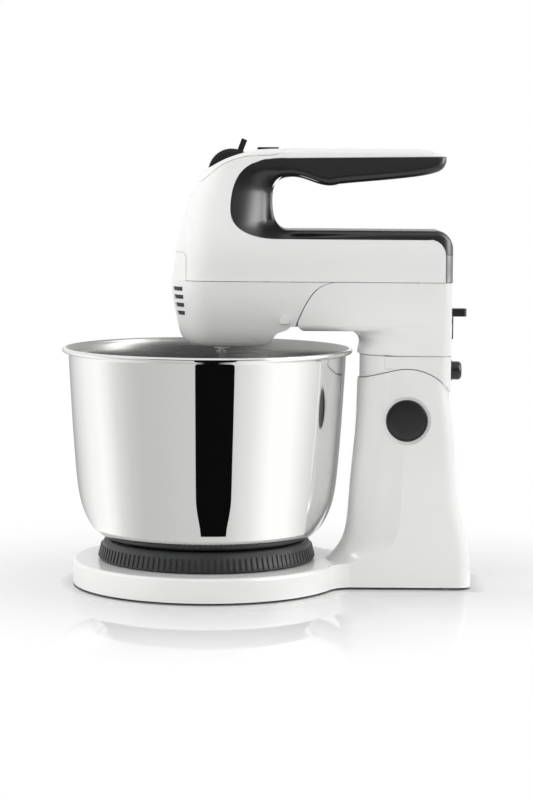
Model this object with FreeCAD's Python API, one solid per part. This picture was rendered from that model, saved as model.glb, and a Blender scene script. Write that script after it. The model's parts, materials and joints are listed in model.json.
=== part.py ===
"""Stand mixer: a hand mixer that sits in the tilting arm of a stand with a turning bowl.

Everything is drawn with X = 0 and Y = 0 on the bowl's axis, Z = 0 on the surface that the
stand rests on, the bowl at -X and the column at +X. save() then moves each piece along X, so
that the origin is the middle of the whole object's footprint. All sizes are in millimetres.
"""
import FreeCAD, Part
import math
import os
from FreeCAD import Rotation, Vector

# ---- stand: base and column ----
FOOT_HEIGHT = 1.0            # rubber feet below the shell
BASE_RADIUS = 107.5
BASE_HEIGHT = 20.0
BASE_EDGE = 2.5              # rounding of the base's top edge
BASE_REAR = 212.0            # bowl axis to the rear of the base
BASE_BLEND = 22.0            # plan radius where the disc runs into the rear block
STAND_WALL = 2.6
COLUMN_HALF_WIDTH = 30.5
COLUMN_FRONT = 122.0         # bowl axis to the column's front, at its top
COLUMN_REAR = 194.0          # bowl axis to the column's rear, at its top
COLUMN_NOSE = 1.25           # the column's half-elliptical front: its length over its half width
COLUMN_CORNER = 11.0         # radius of its two rear edges
PLATE_THICKNESS = 2.0
PLATE_GAP = 0.3

# ---- head tilt hinge ----
PIVOT_X = 158.9
PIVOT_Z = 134.7
CROWN_RADIUS = 40.7          # the column's top, round the pivot
CROWN_TANGENT = 105.0        # angle where the crown runs straight on to the front
CROWN_GAP = 0.6              # running gap between the crown and the collar
PIN_RADIUS = 4.0
PIN_CLEARANCE = 0.05
BOSS_RADIUS = 9.0
CAP_RADIUS = 16.6
CAP_RECESS = 19.0
TONGUE_HALF = 9.0
TONGUE_FRONT = 22.0          # from the pivot to the tongue's front
TONGUE_REAR = 1.0            # from the pivot to the tongue's rear
TONGUE_EYE = 13.0
SHIELD_WALL = 2.0            # curved guard on the tongue that closes the crown's slot
SLOT_GAP = 0.6
TILT_ANGLE = 45.0

# ---- collar and arm ----
COLLAR_TOP = 186.0
ARM_WALL = 3.0
ARM_BOTTOM = 205.5
SEAM_Z = 244.2               # top of the arm, and joint of the hand mixer's two housings
SEAM_GAP = 0.4
GROOVE_DEPTH = 0.8           # depth of the open joint between the collar and the arm
ARM_EDGE = 6.0               # rounding of the arm's lower edge
NEST_GAP = 0.4               # hand mixer in the arm

# ---- hand mixer ----
HOUSING_WALL = 2.4
MIXER_REAR = 194.2
MIXER_HALF_WIDTH = 39.0
MIXER_NOSE = 0.92            # its rounded front: length over half width
NOSE_BOTTOM = 192.0
HANDLE_TOP = 349.0
HANDLE_END = 188.5
HANDLE_BOTTOM = 321.0
PILLAR_REAR = 51.5           # front of the finger opening
BODY_TOP = 285.0             # bottom of the finger opening
GRIP_FRONT = 18.3
GRIP_BOTTOM = 278.0
GRIP_REAR = 187.7
TRIM_TOP = 266.0
PART_LINE = 0.25             # gap between flush covers
TOP_EDGE = 5.0               # rounding along the handle's top and the control panel
OPENING_EDGE = 5.6           # rounding round the finger opening
OPENING_PROUD = 0.05         # the body that this rounding is cut on stands this much proud
BADGE_DEPTH = 1.2
BADGE_REAR = -16.6
BADGE_HEIGHT = 22.4
BADGE_CORNER = 4.5
VENT_COUNT = 4               # slots on each side of the nose
VENT_LOW = 216.9
VENT_PITCH = 6.4
VENT_HEIGHT = 3.3
VENT_REAR = -17.4            # rear end of the lowest slot
VENT_RAKE = 0.65             # how much further forward each slot above it ends
VENT_START = 12.0            # distance of a slot's front end from the centre plane
GLAND_X = 160.0              # bush for the mains lead, on the far side
GLAND_RADIUS = 4.5

# ---- controls ----
WHEEL_X = 18.7
WHEEL_Z = 329.8
WHEEL_RADIUS = 19.0
WHEEL_HALF = 7.0
LEVER_REACH = 28.2           # from the wheel's axis to the lever's tip
LEVER_ANGLE = 72.0           # the lever at rest, above +X
AXLE_RADIUS = 2.5
EJECT_X = 44.0               # rod under the eject button
EJECT_FRONT = 39.2
EJECT_REAR = 56.2
EJECT_TOP = 350.4
EJECT_HALF = 7.5
EJECT_TRAVEL = 5.0
EJECT_SPRING = 14.4          # length of the return spring at rest
ROD_RADIUS = 2.5
BOARD_Z = 297.0              # underside of the circuit board
BOARD_THICKNESS = 1.6
BOARD_STEP = 24.0            # behind this the board narrows to clear the pillar
MODULE_GAP = 1.5             # between the speed switch and the pillar's rear wall
BUTTON_Z = 172.6             # tilt button
BUTTON_RADIUS = 7.4
BUTTON_OUT = 9.7
BUTTON_TRAVEL = 3.0
BUTTON_EAR = 1.2             # thickness of the ears that keep the button in
SLIDER_LOW = 198.2
SLIDER_HIGH = 222.4
SLIDER_HALF = 6.0
SLIDER_TRAVEL = 5.0

# ---- motor and gears ----
SHAFT_Z = 246.0
SHAFT_RADIUS = 3.0
BEATER_X = 12.1
WORM_RADIUS = 4.4
GEAR_RADIUS = 15.0
GEAR_TEETH = 36
GEAR_DEPTH = 1.2
GEAR_HALF = 5.0
MESH_GAP = 0.4
SPINDLE_RADIUS = 6.5
STATOR_RADIUS = 28.0
STATOR_FRONT = 92.0
STATOR_REAR = 142.0
AIR_GAP = 0.5
ARMATURE_RADIUS = 16.0
BEARING_RADIUS = 6.0
BRACKET_FRONT = 66.0
BRACKET_REAR = 164.0
BRACKET_THICKNESS = 4.0

# ---- beaters ----
BEATER_SHAFT = 2.8
BEATER_RADIUS = 23.5
BEATER_BOTTOM = 44.0
BEATER_CAGE = 80.0
BEATER_STRIP = 1.4
BEATER_WIDTH = 5.0

# ---- bowl and turntable ----
RIM_RADIUS = 116.3
RIM_Z = 188.0
RIM_CURL = 2.2
BOWL_WALL = 1.0
BOWL_FLOOR = 36.4
FOOT_RADIUS = 74.0
RING_RADIUS = 87.6
RING_TOP_RADIUS = 80.7
RING_TOP = 36.2
RING_INNER = 76.0
RING_GAP = 1.0
TABLE_TOP = 30.0
TABLE_THICKNESS = 3.5
SPINDLE_PIN = 5.0
GLIDE_RADIUS = 60.0

# ---- screws ----
SCREW_RADIUS = 1.5
SCREW_HEAD = 2.9
HEAD_HEIGHT = 2.0
POST_RADIUS = 4.4

# ---- worked out from the values above ----
ORIGIN_X = (BASE_REAR - RIM_RADIUS) / 2
SHELL_BOTTOM = FOOT_HEIGHT
GEAR_Y = WORM_RADIUS + GEAR_RADIUS + MESH_GAP
BUTTON_SEAT = COLUMN_REAR - ARM_WALL - PLATE_GAP - BUTTON_EAR - BUTTON_TRAVEL - 0.2
BEATER_TOP = SHAFT_Z - 4
FAR = 400.0


# ------------------------------------------------------------------ small helpers
def box(x0, x1, y0, y1, z0, z1):
    """A box between two corners."""
    return Part.makeBox(x1 - x0, y1 - y0, z1 - z0, Vector(x0, y0, z0))


def cylinder_z(x, y, radius, z0, z1):
    """An upright cylinder."""
    return Part.makeCylinder(radius, z1 - z0, Vector(x, y, z0), Vector(0, 0, 1))


def cylinder_y(x, z, radius, y0, y1):
    """A cylinder across the object."""
    return Part.makeCylinder(radius, y1 - y0, Vector(x, y0, z), Vector(0, 1, 0))


def cylinder_x(y, z, radius, x0, x1):
    """A cylinder along the object."""
    return Part.makeCylinder(radius, x1 - x0, Vector(x0, y, z), Vector(1, 0, 0))


def fuse(shapes):
    """One solid out of several that touch or overlap."""
    shape = shapes[0].fuse(shapes[1:]) if len(shapes) > 1 else shapes[0]
    return shape.removeSplitter()


def mirrored(shape):
    """The same piece on the other side, Y to -Y."""
    return shape.mirror(Vector(0, 0, 0), Vector(0, 1, 0))


def spline_edge(points):
    """A smooth edge in the XZ plane through a few points."""
    curve = Part.BSplineCurve()
    curve.interpolate([Vector(x, 0, z) for x, z in points])
    return curve.toShape()


def line_edge(start, end):
    """A straight edge in the XZ plane."""
    return Part.makeLine(Vector(start[0], 0, start[1]), Vector(end[0], 0, end[1]))


def outline(*runs):
    """A closed outline in the XZ plane: runs of points, joined by straight lines.

    A run of two points is a line and a longer run is a smooth curve.
    """
    edges = []
    for index, run in enumerate(runs):
        edges.append(spline_edge(run) if len(run) > 2 else line_edge(run[0], run[1]))
        following = runs[(index + 1) % len(runs)][0]
        if math.dist(run[-1], following) > 1e-6:
            edges.append(line_edge(run[-1], following))
    return Part.Face(Part.Wire(Part.__sortEdges__(edges)))


def polygon(points):
    """A closed straight-sided outline in the XZ plane."""
    return Part.Face(Part.makePolygon([Vector(x, 0, z) for x, z in points + points[:1]]))


def across(face, half_width):
    """An outline in the XZ plane made into a solid across the object."""
    moved = face.translated(Vector(0, -half_width, 0))
    return moved.extrude(Vector(0, 2 * half_width, 0))


def turned(points):
    """A closed outline of (radius, height) points turned about the bowl's axis."""
    face = Part.Face(Part.makePolygon([Vector(r, 0, z) for r, z in points + points[:1]]))
    return face.revolve(Vector(0, 0, 0), Vector(0, 0, 1), 360)


def quarter(corner, start, end, z, fullness=0.56):
    """A quarter-round plan edge from start to end, bulging towards the corner."""
    handles = [(point[0] + (corner[0] - point[0]) * fullness, point[1] + (corner[1] - point[1]) * fullness)
               for point in (start, end)]
    return bezier_edge([start, handles[0], handles[1], end], z)


def bezier_edge(points, z):
    """A level Bezier edge with these poles."""
    curve = Part.BezierCurve()
    curve.setPoles([Vector(x, y, z) for x, y in points])
    return curve.toShape()


def plan_section(z, front, rear, half_width, nose, corner):
    """A horizontal section as one closed curve: half-elliptical front, straight sides, round corners."""
    length = nose * half_width
    shoulder = front + length
    leg = 1.75 * corner
    side_rear = rear - leg
    side_front = shoulder + 0.2 * length
    half = [(rear, half_width - leg), (rear, half_width)]
    half += [(side_rear + (side_front - side_rear) * step / 3, half_width) for step in range(4)]
    half += [(shoulder - 1.0183 * length * math.cos(angle), 1.0183 * half_width * math.sin(angle))
             for angle in (math.radians(degrees) for degrees in (75.0, 56.25, 37.5, 18.75))]
    tip = [(shoulder - 1.0183 * length, 0.0)]
    far_half = [(x, -y) for x, y in half]
    poles = far_half[:1] + [(rear, 0.0)] + half + tip + far_half[:0:-1]
    curve = Part.BSplineCurve()
    curve.buildFromPolesMultsKnots([Vector(x, y, z) for x, y in poles], [1] * (len(poles) + 1),
                                   list(range(len(poles) + 1)), True, 3)
    return Part.Wire([curve.toShape()])


def body_of(sections, inset, nose, corner):
    """A smooth solid through plan sections given as (z, front, rear, half width)."""
    wires = [plan_section(z, front + inset, rear - inset, half_width - inset,
                          nose, max(corner - inset, 2.0))
             for z, front, rear, half_width in sections]
    return Part.makeLoft(wires, True, False)


def column_section(z, front, rear, half_width, nose, crease, corner):
    """The column's plan: as a plan section, but its rounded front may meet the flat sides at a crease."""
    shoulder = front + nose * half_width
    inner_x = rear - corner
    inner_y = half_width - corner
    handle = 0.56 * nose * half_width
    lead = (shoulder - handle * math.cos(math.radians(crease)),
            half_width - handle * math.sin(math.radians(crease)))
    corners = [(shoulder, half_width), (inner_x, half_width), (rear, inner_y), (rear, -inner_y),
               (inner_x, -half_width), (shoulder, -half_width)]

    def straight(start, end):
        return Part.makeLine(Vector(start[0], start[1], z), Vector(end[0], end[1], z))

    return Part.Wire([
        straight(corners[0], corners[1]),
        quarter((rear, half_width), corners[1], corners[2], z),
        straight(corners[2], corners[3]),
        quarter((rear, -half_width), corners[3], corners[4], z),
        straight(corners[4], corners[5]),
        bezier_edge([corners[5], (lead[0], -lead[1]), (front, -0.56 * half_width), (front, 0.0)], z),
        bezier_edge([(front, 0.0), (front, 0.56 * half_width), lead, corners[0]], z),
    ])


def column_body(sections, inset):
    """A smooth solid through column sections given as (z, front, rear, half width, nose, crease)."""
    wires = [column_section(z, front + inset, rear - inset, half_width - inset, nose, crease,
                            COLUMN_CORNER - inset)
             for z, front, rear, half_width, nose, crease in sections]
    return Part.makeLoft(wires, True, False)


def save(name, *solids):
    """Write one node, moved so that the origin is the middle of the footprint."""
    pieces = []
    for solid in solids:
        pieces.extend(solid.Solids)
    shape = pieces[0] if len(pieces) == 1 else Part.makeCompound(pieces)
    shape.translated(Vector(-ORIGIN_X, 0, 0)).exportStep("parts/" + name + ".step")


# ------------------------------------------------------------------ shared outlines
def pivot_point(radius, degrees):
    """A point round the tilt pivot, in the XZ plane."""
    angle = math.radians(degrees)
    return (PIVOT_X + radius * math.cos(angle), PIVOT_Z + radius * math.sin(angle))


def crown_cutter(radius):
    """Everything below the crown: a round top about the pivot that runs straight on to the front."""
    tangent = pivot_point(radius, CROWN_TANGENT)
    slope = math.tan(math.radians(CROWN_TANGENT - 90))
    front = COLUMN_FRONT - 40
    low_front = (front, tangent[1] - (tangent[0] - front) * slope)
    rear_end = pivot_point(radius, 15.0)
    rear = BASE_REAR + 20
    middle = pivot_point(radius, CROWN_TANGENT / 2)
    crown = Part.Arc(*[Vector(x, 0, z) for x, z in (tangent, middle, rear_end)]).toShape()
    corners = [rear_end, (rear, rear_end[1]), (rear, 0), (front, 0), low_front, tangent]
    edges = [crown] + [line_edge(corners[i], corners[i + 1]) for i in range(len(corners) - 1)]
    return across(Part.Face(Part.Wire(edges)), FAR)


def column_sections(top):
    """The column's plan at each height: scooped out at the front foot, leaning in at the rear."""
    height = top - BASE_HEIGHT
    lean = BASE_REAR - COLUMN_REAR
    # share of the height, flare of the front, share of the lean, nose, angle of the crease
    profile = ((-0.13, 34.0, 1.0, 0.40, 8.0), (-0.01, 28.0, 0.95, 0.50, 12.0), (0.03, 21.0, 0.92, 1.00, 17.0),
               (0.09, 14.0, 0.84, 1.28, 20.0), (0.16, 10.2, 0.70, 1.34, 20.0), (0.26, 8.2, 0.50, 1.34, 19.0),
               (0.50, 5.4, 0.26, 1.31, 12.0), (0.76, 2.2, 0.04, 1.27, 2.0), (1.0, 0.0, 0.0, COLUMN_NOSE, 0.0))
    return [(BASE_HEIGHT + height * share, COLUMN_FRONT - flare, COLUMN_REAR + lean * rear, COLUMN_HALF_WIDTH,
             nose, crease)
            for share, flare, rear, nose, crease in profile]


def base_web(inset, z0, z1):
    """The part of the base between its disc and the column: two hollow curves in plan."""
    radius = BASE_RADIUS - inset
    blend = BASE_BLEND + inset
    centre_y = COLUMN_HALF_WIDTH - inset - 0.3 + blend
    centre_x = math.sqrt((radius + blend) ** 2 - centre_y ** 2)
    share = radius / (radius + blend)
    touch_x = centre_x * share
    touch_y = centre_y * share
    corners = [(touch_x - 12, -touch_y + 6), (touch_x, -touch_y), (centre_x, -centre_y),
               (centre_x, centre_y), (touch_x, touch_y), (touch_x - 12, touch_y - 6)]
    wire = Part.makePolygon([Vector(x, y, z0) for x, y in corners + corners[:1]])
    web = Part.Face(wire).extrude(Vector(0, 0, z1 - z0))
    for side in (-1, 1):
        web = web.cut(cylinder_z(centre_x, side * centre_y, blend, z0 - 1, z1 + 1))
    return web


def base_outline(inset, z0, z1):
    """The base's plan: a disc, a web with hollow sides and the narrower block under the column."""
    half = COLUMN_HALF_WIDTH - inset
    rear = BASE_REAR - inset
    block = box(BASE_RADIUS - 12, rear, -half, half, z0, z1)
    corners = [edge for edge in block.Edges
               if abs(edge.Length - (z1 - z0)) < 1e-6 and edge.BoundBox.XMin > rear - 1e-6]
    block = block.makeFillet(COLUMN_CORNER - inset, corners)
    return fuse([cylinder_z(0, 0, BASE_RADIUS - inset, z0, z1), base_web(inset, z0, z1), block])


def lower_sections():
    """The hand mixer's lower half at each height, from its rounded underside to the seam."""
    wide = MIXER_HALF_WIDTH
    return [(NOSE_BOTTOM, -8.0, MIXER_REAR, wide - 13.0), (NOSE_BOTTOM + 2.5, -16.5, MIXER_REAR, wide - 8.4),
            (NOSE_BOTTOM + 8.0, -20.9, MIXER_REAR, wide - 5.4),
            (NOSE_BOTTOM + 18.0, -23.9, MIXER_REAR, wide - 3.0),
            (NOSE_BOTTOM + 31.0, -26.6, MIXER_REAR, wide - 1.2),
            (NOSE_BOTTOM + 43.0, -28.6, MIXER_REAR, wide - 0.3),
            (SEAM_Z, -28.8, MIXER_REAR, wide)]


def upper_sections():
    """The hand mixer's upper half at each height, narrowing from the seam to the handle."""
    rise = HANDLE_TOP - SEAM_Z
    profile = ((0.0, -28.8, 0.0), (0.17, -26.2, 1.2), (0.34, -22.9, 3.8), (0.53, -17.8, 9.0),
               (0.71, -11.0, 14.2), (0.86, -3.0, 17.8), (0.95, 2.0, 19.8), (1.03, 6.0, 22.5))
    return [(SEAM_Z + rise * share, front, MIXER_REAR, MIXER_HALF_WIDTH - narrower)
            for share, front, narrower in profile]


def lower_body(inset):
    """Solid form of the hand mixer below the seam."""
    return body_of(lower_sections(), inset, MIXER_NOSE, 13.0)


def upper_body(inset):
    """Solid form of the hand mixer above the seam, with no finger opening."""
    return body_of(upper_sections(), inset, MIXER_NOSE, 11.0)


def arm_side(grow):
    """Side outline of the arm: a swept front edge, a level underside and a square rear."""
    low = ARM_BOTTOM - 30
    return outline(
        [(69.0 - grow, low), (69.0 - grow, ARM_BOTTOM)],
        [(69.0 - grow, ARM_BOTTOM), (74.9 - grow, 219.9), (80.8 - grow, 231.0), (87.0 - grow, 238.6),
         (94.3 - grow, 242.8), (103.0 - grow, SEAM_Z + grow)],
        [(103.0 - grow, SEAM_Z + grow), (FAR, SEAM_Z + grow)],
        [(FAR, SEAM_Z + grow), (FAR, low)])


def silhouette(inset):
    """Side outline of the upper half: the sloping control panel, the handle and its drooping end."""
    top = HANDLE_TOP - inset
    return outline(
        [(-60.0, SEAM_Z - 5), (-60.0, 325.0 - inset)],
        [(-60.0, 325.0 - inset), (-12.0, 325.0 - inset)],
        [(-12.0, 325.0 - inset), (-3.6, 330.6 - inset), (5.0, 335.6 - inset), (14.0, 340.3 - inset),
         (24.0, 343.9 - inset), (32.0, 346.4 - inset), (44.0, 348.1 - inset), (66.0, top)],
        [(66.0, top), (162.0, top)],
        [(162.0, top), (171.0, top - 0.5), (180.0, top - 2.4), (HANDLE_END - inset, 342.6 - inset)],
        [(HANDLE_END - inset, 342.6 - inset), (HANDLE_END - inset, BODY_TOP + 20)],
        [(HANDLE_END - inset, BODY_TOP + 20), (FAR, BODY_TOP + 20)],
        [(FAR, BODY_TOP + 20), (FAR, SEAM_Z - 5)])


def grip_region(grow):
    """Side outline of the dark grip together with the finger opening that it surrounds."""
    rear = GRIP_REAR - grow
    front = GRIP_FRONT - grow
    top = 341.2 + grow
    low = GRIP_BOTTOM - grow
    return outline(
        [(HANDLE_END + 60, low - 60), (rear, low - 60)],
        [(rear, low - 60), (rear, low - 12.5)],
        [(rear, low - 12.5), (rear - 1.6, low - 6.0), (rear - 5.6, low - 1.6), (rear - 13, low)],
        [(rear - 13, low), (64.0, low)],
        [(64.0, low), (44.4, low + 0.8), (32.0, low + 4.2), (front + 5.4, low + 9.6),
         (front + 1.2, low + 16.0), (front, GRIP_BOTTOM + 24.0), (front + 0.9, top - 29.2),
         (front + 3.9, top - 18.7),
         (front + 9.2, top - 10.4), (front + 17.6, top - 4.4), (48.2, top - 0.8), (64.0, top)],
        [(64.0, top), (HANDLE_END - 1.0, top + 1.8)],
        [(HANDLE_END - 1.0, top + 1.8), (HANDLE_END + 60, top + 1.8)])


def finger_opening(grow):
    """Side outline of the finger opening, open to the rear, and of the space above the body's rear edge."""
    low = BODY_TOP - grow
    high = HANDLE_BOTTOM + grow
    front = PILLAR_REAR - grow
    rear = MIXER_REAR - 0.4 - grow
    end = HANDLE_END + 0.8 + grow
    return outline(
        [(FAR, low - 23.0), (rear + 3.0, low - 23.0)],
        [(rear + 3.0, low - 23.0), (rear + 0.6, low - 15.0), (rear - 2.0, low - 7.4), (rear - 7.0, low - 1.8),
         (rear - 14.5, low)],
        [(rear - 14.5, low), (front + 12.5, low)],
        [(front + 12.5, low), (front + 6.6, low + 1.8), (front + 2.2, low + 7.2), (front, low + 16.0),
         (front - 0.3, low + 26.0), (front + 1.2, low + 34.0), (front + 5.4, low + 39.0),
         (front + 12.2, high + 5.2), (front + 20.2, high + 5.0), (front + 28.6, high + 2.6),
         (front + 38.0, high - 0.4), (front + 52.0, high)],
        [(front + 52.0, high), (126.6, high + 2.2), (158.0, high + 5.4), (177.5, high + 8.8),
         (185.8, high + 12.8), (end - 0.9, high + 17.6), (end, high + 25.0)],
        [(end, high + 25.0), (end, FAR)],
        [(end, FAR), (FAR, FAR)])


def panel_region(grow):
    """Side outline of the control panel inlay, along the sloping top."""
    return outline(
        [(-40.0, 322.5 - grow), (-6.3, 322.5 - grow)],
        [(-6.3, 322.5 - grow), (-3.1, 324.0 - grow), (4.0, 330.2 - grow), (13.9, 337.0 - grow),
         (24.0, 340.9 - grow), (34.0, 343.0 - grow), (53.2, 344.0 - grow), (60.8 + grow, 347.0)],
        [(60.8 + grow, 347.0), (60.8 + grow, 360.0)],
        [(60.8 + grow, 360.0), (-40.0, 360.0)])


# ------------------------------------------------------------------ stand
def stand_shell():
    """Base and column in one moulding, open underneath, with hinge bosses and screw bosses."""
    top = PIVOT_Z + CROWN_RADIUS + 2
    disc = cylinder_z(0, 0, BASE_RADIUS, SHELL_BOTTOM, BASE_HEIGHT)
    rim = [edge for edge in disc.Edges if edge.BoundBox.ZMin > BASE_HEIGHT - 1e-6]
    disc = disc.makeFillet(BASE_EDGE, rim)
    column = column_body(column_sections(top), 0)
    column = column.common(crown_cutter(CROWN_RADIUS))
    column = column.common(box(0, FAR, -FAR, FAR, SHELL_BOTTOM, FAR))
    shell = disc.fuse(base_web(0, SHELL_BOTTOM, BASE_HEIGHT)).fuse(column)
    hollow = column_body(column_sections(top), STAND_WALL)
    shell = shell.cut(hollow.common(crown_cutter(CROWN_RADIUS - STAND_WALL)))
    shell = shell.cut(base_outline(STAND_WALL, SHELL_BOTTOM - 1, BASE_HEIGHT - STAND_WALL))
    for x, y in base_screw_places():
        shell = shell.fuse(cylinder_z(x, y, POST_RADIUS, SHELL_BOTTOM + PLATE_THICKNESS, BASE_HEIGHT - 1))
    shell = shell.fuse(cylinder_z(0, 0, 13.0, SHELL_BOTTOM + PLATE_THICKNESS, BASE_HEIGHT - 1))
    for side in (-1, 1):
        inner = TONGUE_HALF + SLOT_GAP
        ends = sorted((side * inner, side * (COLUMN_HALF_WIDTH - 1)))
        shell = shell.fuse(cylinder_y(PIVOT_X, PIVOT_Z, BOSS_RADIUS, ends[0], ends[1]))
        recess = sorted((side * (COLUMN_HALF_WIDTH - 1.2), side * FAR))
        shell = shell.cut(cylinder_y(PIVOT_X, PIVOT_Z, CAP_RECESS, recess[0], recess[1]))
    shell = shell.cut(cylinder_y(PIVOT_X, PIVOT_Z, PIN_RADIUS + PIN_CLEARANCE, -FAR, FAR))
    inside = CROWN_RADIUS - STAND_WALL
    front_ray = 90 + math.degrees(math.asin((TONGUE_FRONT + SLOT_GAP) / inside))
    rear_ray = 90 - math.degrees(math.asin((TONGUE_REAR + SLOT_GAP) / inside)) - TILT_ANGLE
    rays = polygon([(PIVOT_X, PIVOT_Z), pivot_point(60, rear_ray), pivot_point(75, 80.0),
                    pivot_point(60, front_ray)])
    shell = shell.cut(across(rays, TONGUE_HALF + SLOT_GAP))
    for x, y in base_screw_places():
        shell = shell.cut(cylinder_z(x, y, SCREW_RADIUS, 0, BASE_HEIGHT - STAND_WALL))
    return shell.cut(cylinder_z(0, 0, SPINDLE_PIN, 0, BASE_HEIGHT + 1))


def base_screw_places():
    """Where the base plate's screws go: three under the bowl and two under the column."""
    ring = BASE_RADIUS - 14
    places = [(ring * math.cos(math.radians(a)), ring * math.sin(math.radians(a))) for a in (90, 180, 270)]
    side = COLUMN_HALF_WIDTH - STAND_WALL - POST_RADIUS + 0.5
    return places + [(BASE_REAR - 20, side), (BASE_REAR - 20, -side)]


def foot_places():
    """Where the rubber feet are: four under the bowl and one under the column."""
    ring = BASE_RADIUS - 18
    angles = [math.radians(degrees) for degrees in (55, 125, 235, 305)]
    places = [(ring * math.cos(angle), ring * math.sin(angle)) for angle in angles]
    return places + [(BASE_REAR - 34, 0)]


def base_plate():
    """Flat cover that closes the shell from below."""
    low = SHELL_BOTTOM
    plate = base_outline(STAND_WALL + PLATE_GAP, low, low + PLATE_THICKNESS)
    for x, y in base_screw_places():
        plate = plate.cut(cylinder_z(x, y, SCREW_RADIUS + 0.2, low - 1, low + PLATE_THICKNESS + 1))
        plate = plate.cut(cylinder_z(x, y, SCREW_HEAD + 0.2, low - 1, low + 0.8))
    return plate


def rubber_feet():
    """Five soft pads under the plate."""
    return [cylinder_z(x, y, 8.0, 0, FOOT_HEIGHT) for x, y in foot_places()]


def base_screws():
    """Screws that hold the plate to the shell's bosses."""
    screws = []
    for x, y in base_screw_places():
        head = cylinder_z(x, y, SCREW_HEAD, SHELL_BOTTOM - 0.6, SHELL_BOTTOM + 0.8)
        screws.append(fuse([head, cylinder_z(x, y, SCREW_RADIUS, SHELL_BOTTOM + 0.8, SHELL_BOTTOM + 12)]))
    return screws


def hinge_pin():
    """Steel pin that carries the tilting head."""
    reach = COLUMN_HALF_WIDTH - 4.5
    return cylinder_y(PIVOT_X, PIVOT_Z, PIN_RADIUS, -reach, reach)


def pivot_caps():
    """Domed discs that close the ends of the hinge, one on each side."""
    floor = COLUMN_HALF_WIDTH - 1.2
    disc = cylinder_y(PIVOT_X, PIVOT_Z, CAP_RADIUS, floor, floor + 2.4)
    rim = [edge for edge in disc.Edges if edge.BoundBox.YMin > floor + 2.39]
    disc = disc.makeFillet(1.2, rim)
    cap = fuse([disc, cylinder_y(PIVOT_X, PIVOT_Z, PIN_RADIUS, COLUMN_HALF_WIDTH - 4.3, floor)])
    return [cap, mirrored(cap)]


def turntable_spindle():
    """Steel pin in the base that the turntable turns on, with a head that keeps it down."""
    pin = cylinder_z(0, 0, SPINDLE_PIN, SHELL_BOTTOM + PLATE_THICKNESS, TABLE_TOP + 0.3)
    return fuse([pin, cylinder_z(0, 0, SPINDLE_PIN + 4, TABLE_TOP + 0.3, TABLE_TOP + 2)])


def glide_pads():
    """Slippery pads on the base that carry the turntable's rim."""
    pads = []
    for index in range(6):
        angle = math.radians(60 * index)
        x = GLIDE_RADIUS * math.cos(angle)
        y = GLIDE_RADIUS * math.sin(angle)
        pads.append(cylinder_z(x, y, 5.0, BASE_HEIGHT, TABLE_TOP - TABLE_THICKNESS - 0.3))
    return pads


# ------------------------------------------------------------------ turntable and bowl
def turntable_ring():
    """Skirt of the turntable, with a raised lip round the bowl's foot."""
    low = BASE_HEIGHT + RING_GAP
    return turned([(RING_RADIUS, low), (RING_RADIUS - 2.4, RING_TOP - 4.9),
                   (RING_TOP_RADIUS + 0.9, RING_TOP - 3.0), (RING_TOP_RADIUS, RING_TOP),
                   (RING_INNER, RING_TOP), (RING_INNER, RING_TOP - 3.4),
                   (RING_INNER + 3.2, RING_TOP - 5.0), (RING_INNER + 5.2, TABLE_TOP),
                   (RING_INNER + 5.2, TABLE_TOP - TABLE_THICKNESS), (RING_RADIUS - 3.0, low)])


def turntable_plate():
    """Disc under the bowl, with the hub that turns on the spindle."""
    low = TABLE_TOP - TABLE_THICKNESS
    disc = cylinder_z(0, 0, RING_INNER + 5.2, low, TABLE_TOP)
    hub = cylinder_z(0, 0, 12.0, BASE_HEIGHT + 0.4, low)
    return fuse([disc, hub]).cut(cylinder_z(0, 0, SPINDLE_PIN + PIN_CLEARANCE, 0, TABLE_TOP + 1))


def bowl_profile(inset):
    """Half section of the bowl's outer skin: a gently flared wall and a round bottom edge."""
    flat = RIM_RADIUS - 5.7
    height = RIM_Z - 1
    return [(flat - inset, height), (flat - 2.2 - inset, 137.0), (flat - 6.6 - inset, 79.5),
            (flat - 11.0 - inset, 60.0), (flat - 17.6 - inset * 0.8, 47.5 + inset * 0.4),
            (flat - 25.0 - inset * 0.5, BOWL_FLOOR + 3.6 + inset * 0.8),
            (flat - 34.6, BOWL_FLOOR + inset)]


def bowl():
    """Thin spun bowl with a rolled rim."""
    outer = bowl_profile(0)
    inner = bowl_profile(BOWL_WALL)
    low = spline_edge(outer)
    high = spline_edge(inner)
    edges = [low, line_edge(outer[-1], (0, outer[-1][1])), line_edge((0, outer[-1][1]), (0, inner[-1][1])),
             line_edge((0, inner[-1][1]), inner[-1]), high, line_edge(inner[0], outer[0])]
    face = Part.Face(Part.Wire(Part.__sortEdges__(edges)))
    skin = face.revolve(Vector(0, 0, 0), Vector(0, 0, 1), 360)
    middle = (outer[0][0] + RIM_RADIUS) / 2
    curl = Part.makeTorus(RIM_RADIUS - RIM_CURL, RIM_CURL, Vector(0, 0, RIM_Z))
    shelf = turned([(inner[0][0], RIM_Z - 1), (middle + 1, RIM_Z + 1),
                    (RIM_RADIUS - RIM_CURL, RIM_Z + RIM_CURL),
                    (RIM_RADIUS - RIM_CURL, RIM_Z + RIM_CURL - BOWL_WALL), (middle + 1.4, RIM_Z),
                    (outer[0][0], RIM_Z - 1 - BOWL_WALL)])
    return fuse([skin, shelf, curl])


def bowl_foot():
    """Short ring under the bowl that stands on the turntable inside its lip."""
    return turned([(FOOT_RADIUS, TABLE_TOP), (FOOT_RADIUS, BOWL_FLOOR), (FOOT_RADIUS - 1.5, BOWL_FLOOR),
                   (FOOT_RADIUS - 1.5, TABLE_TOP)])


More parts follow.
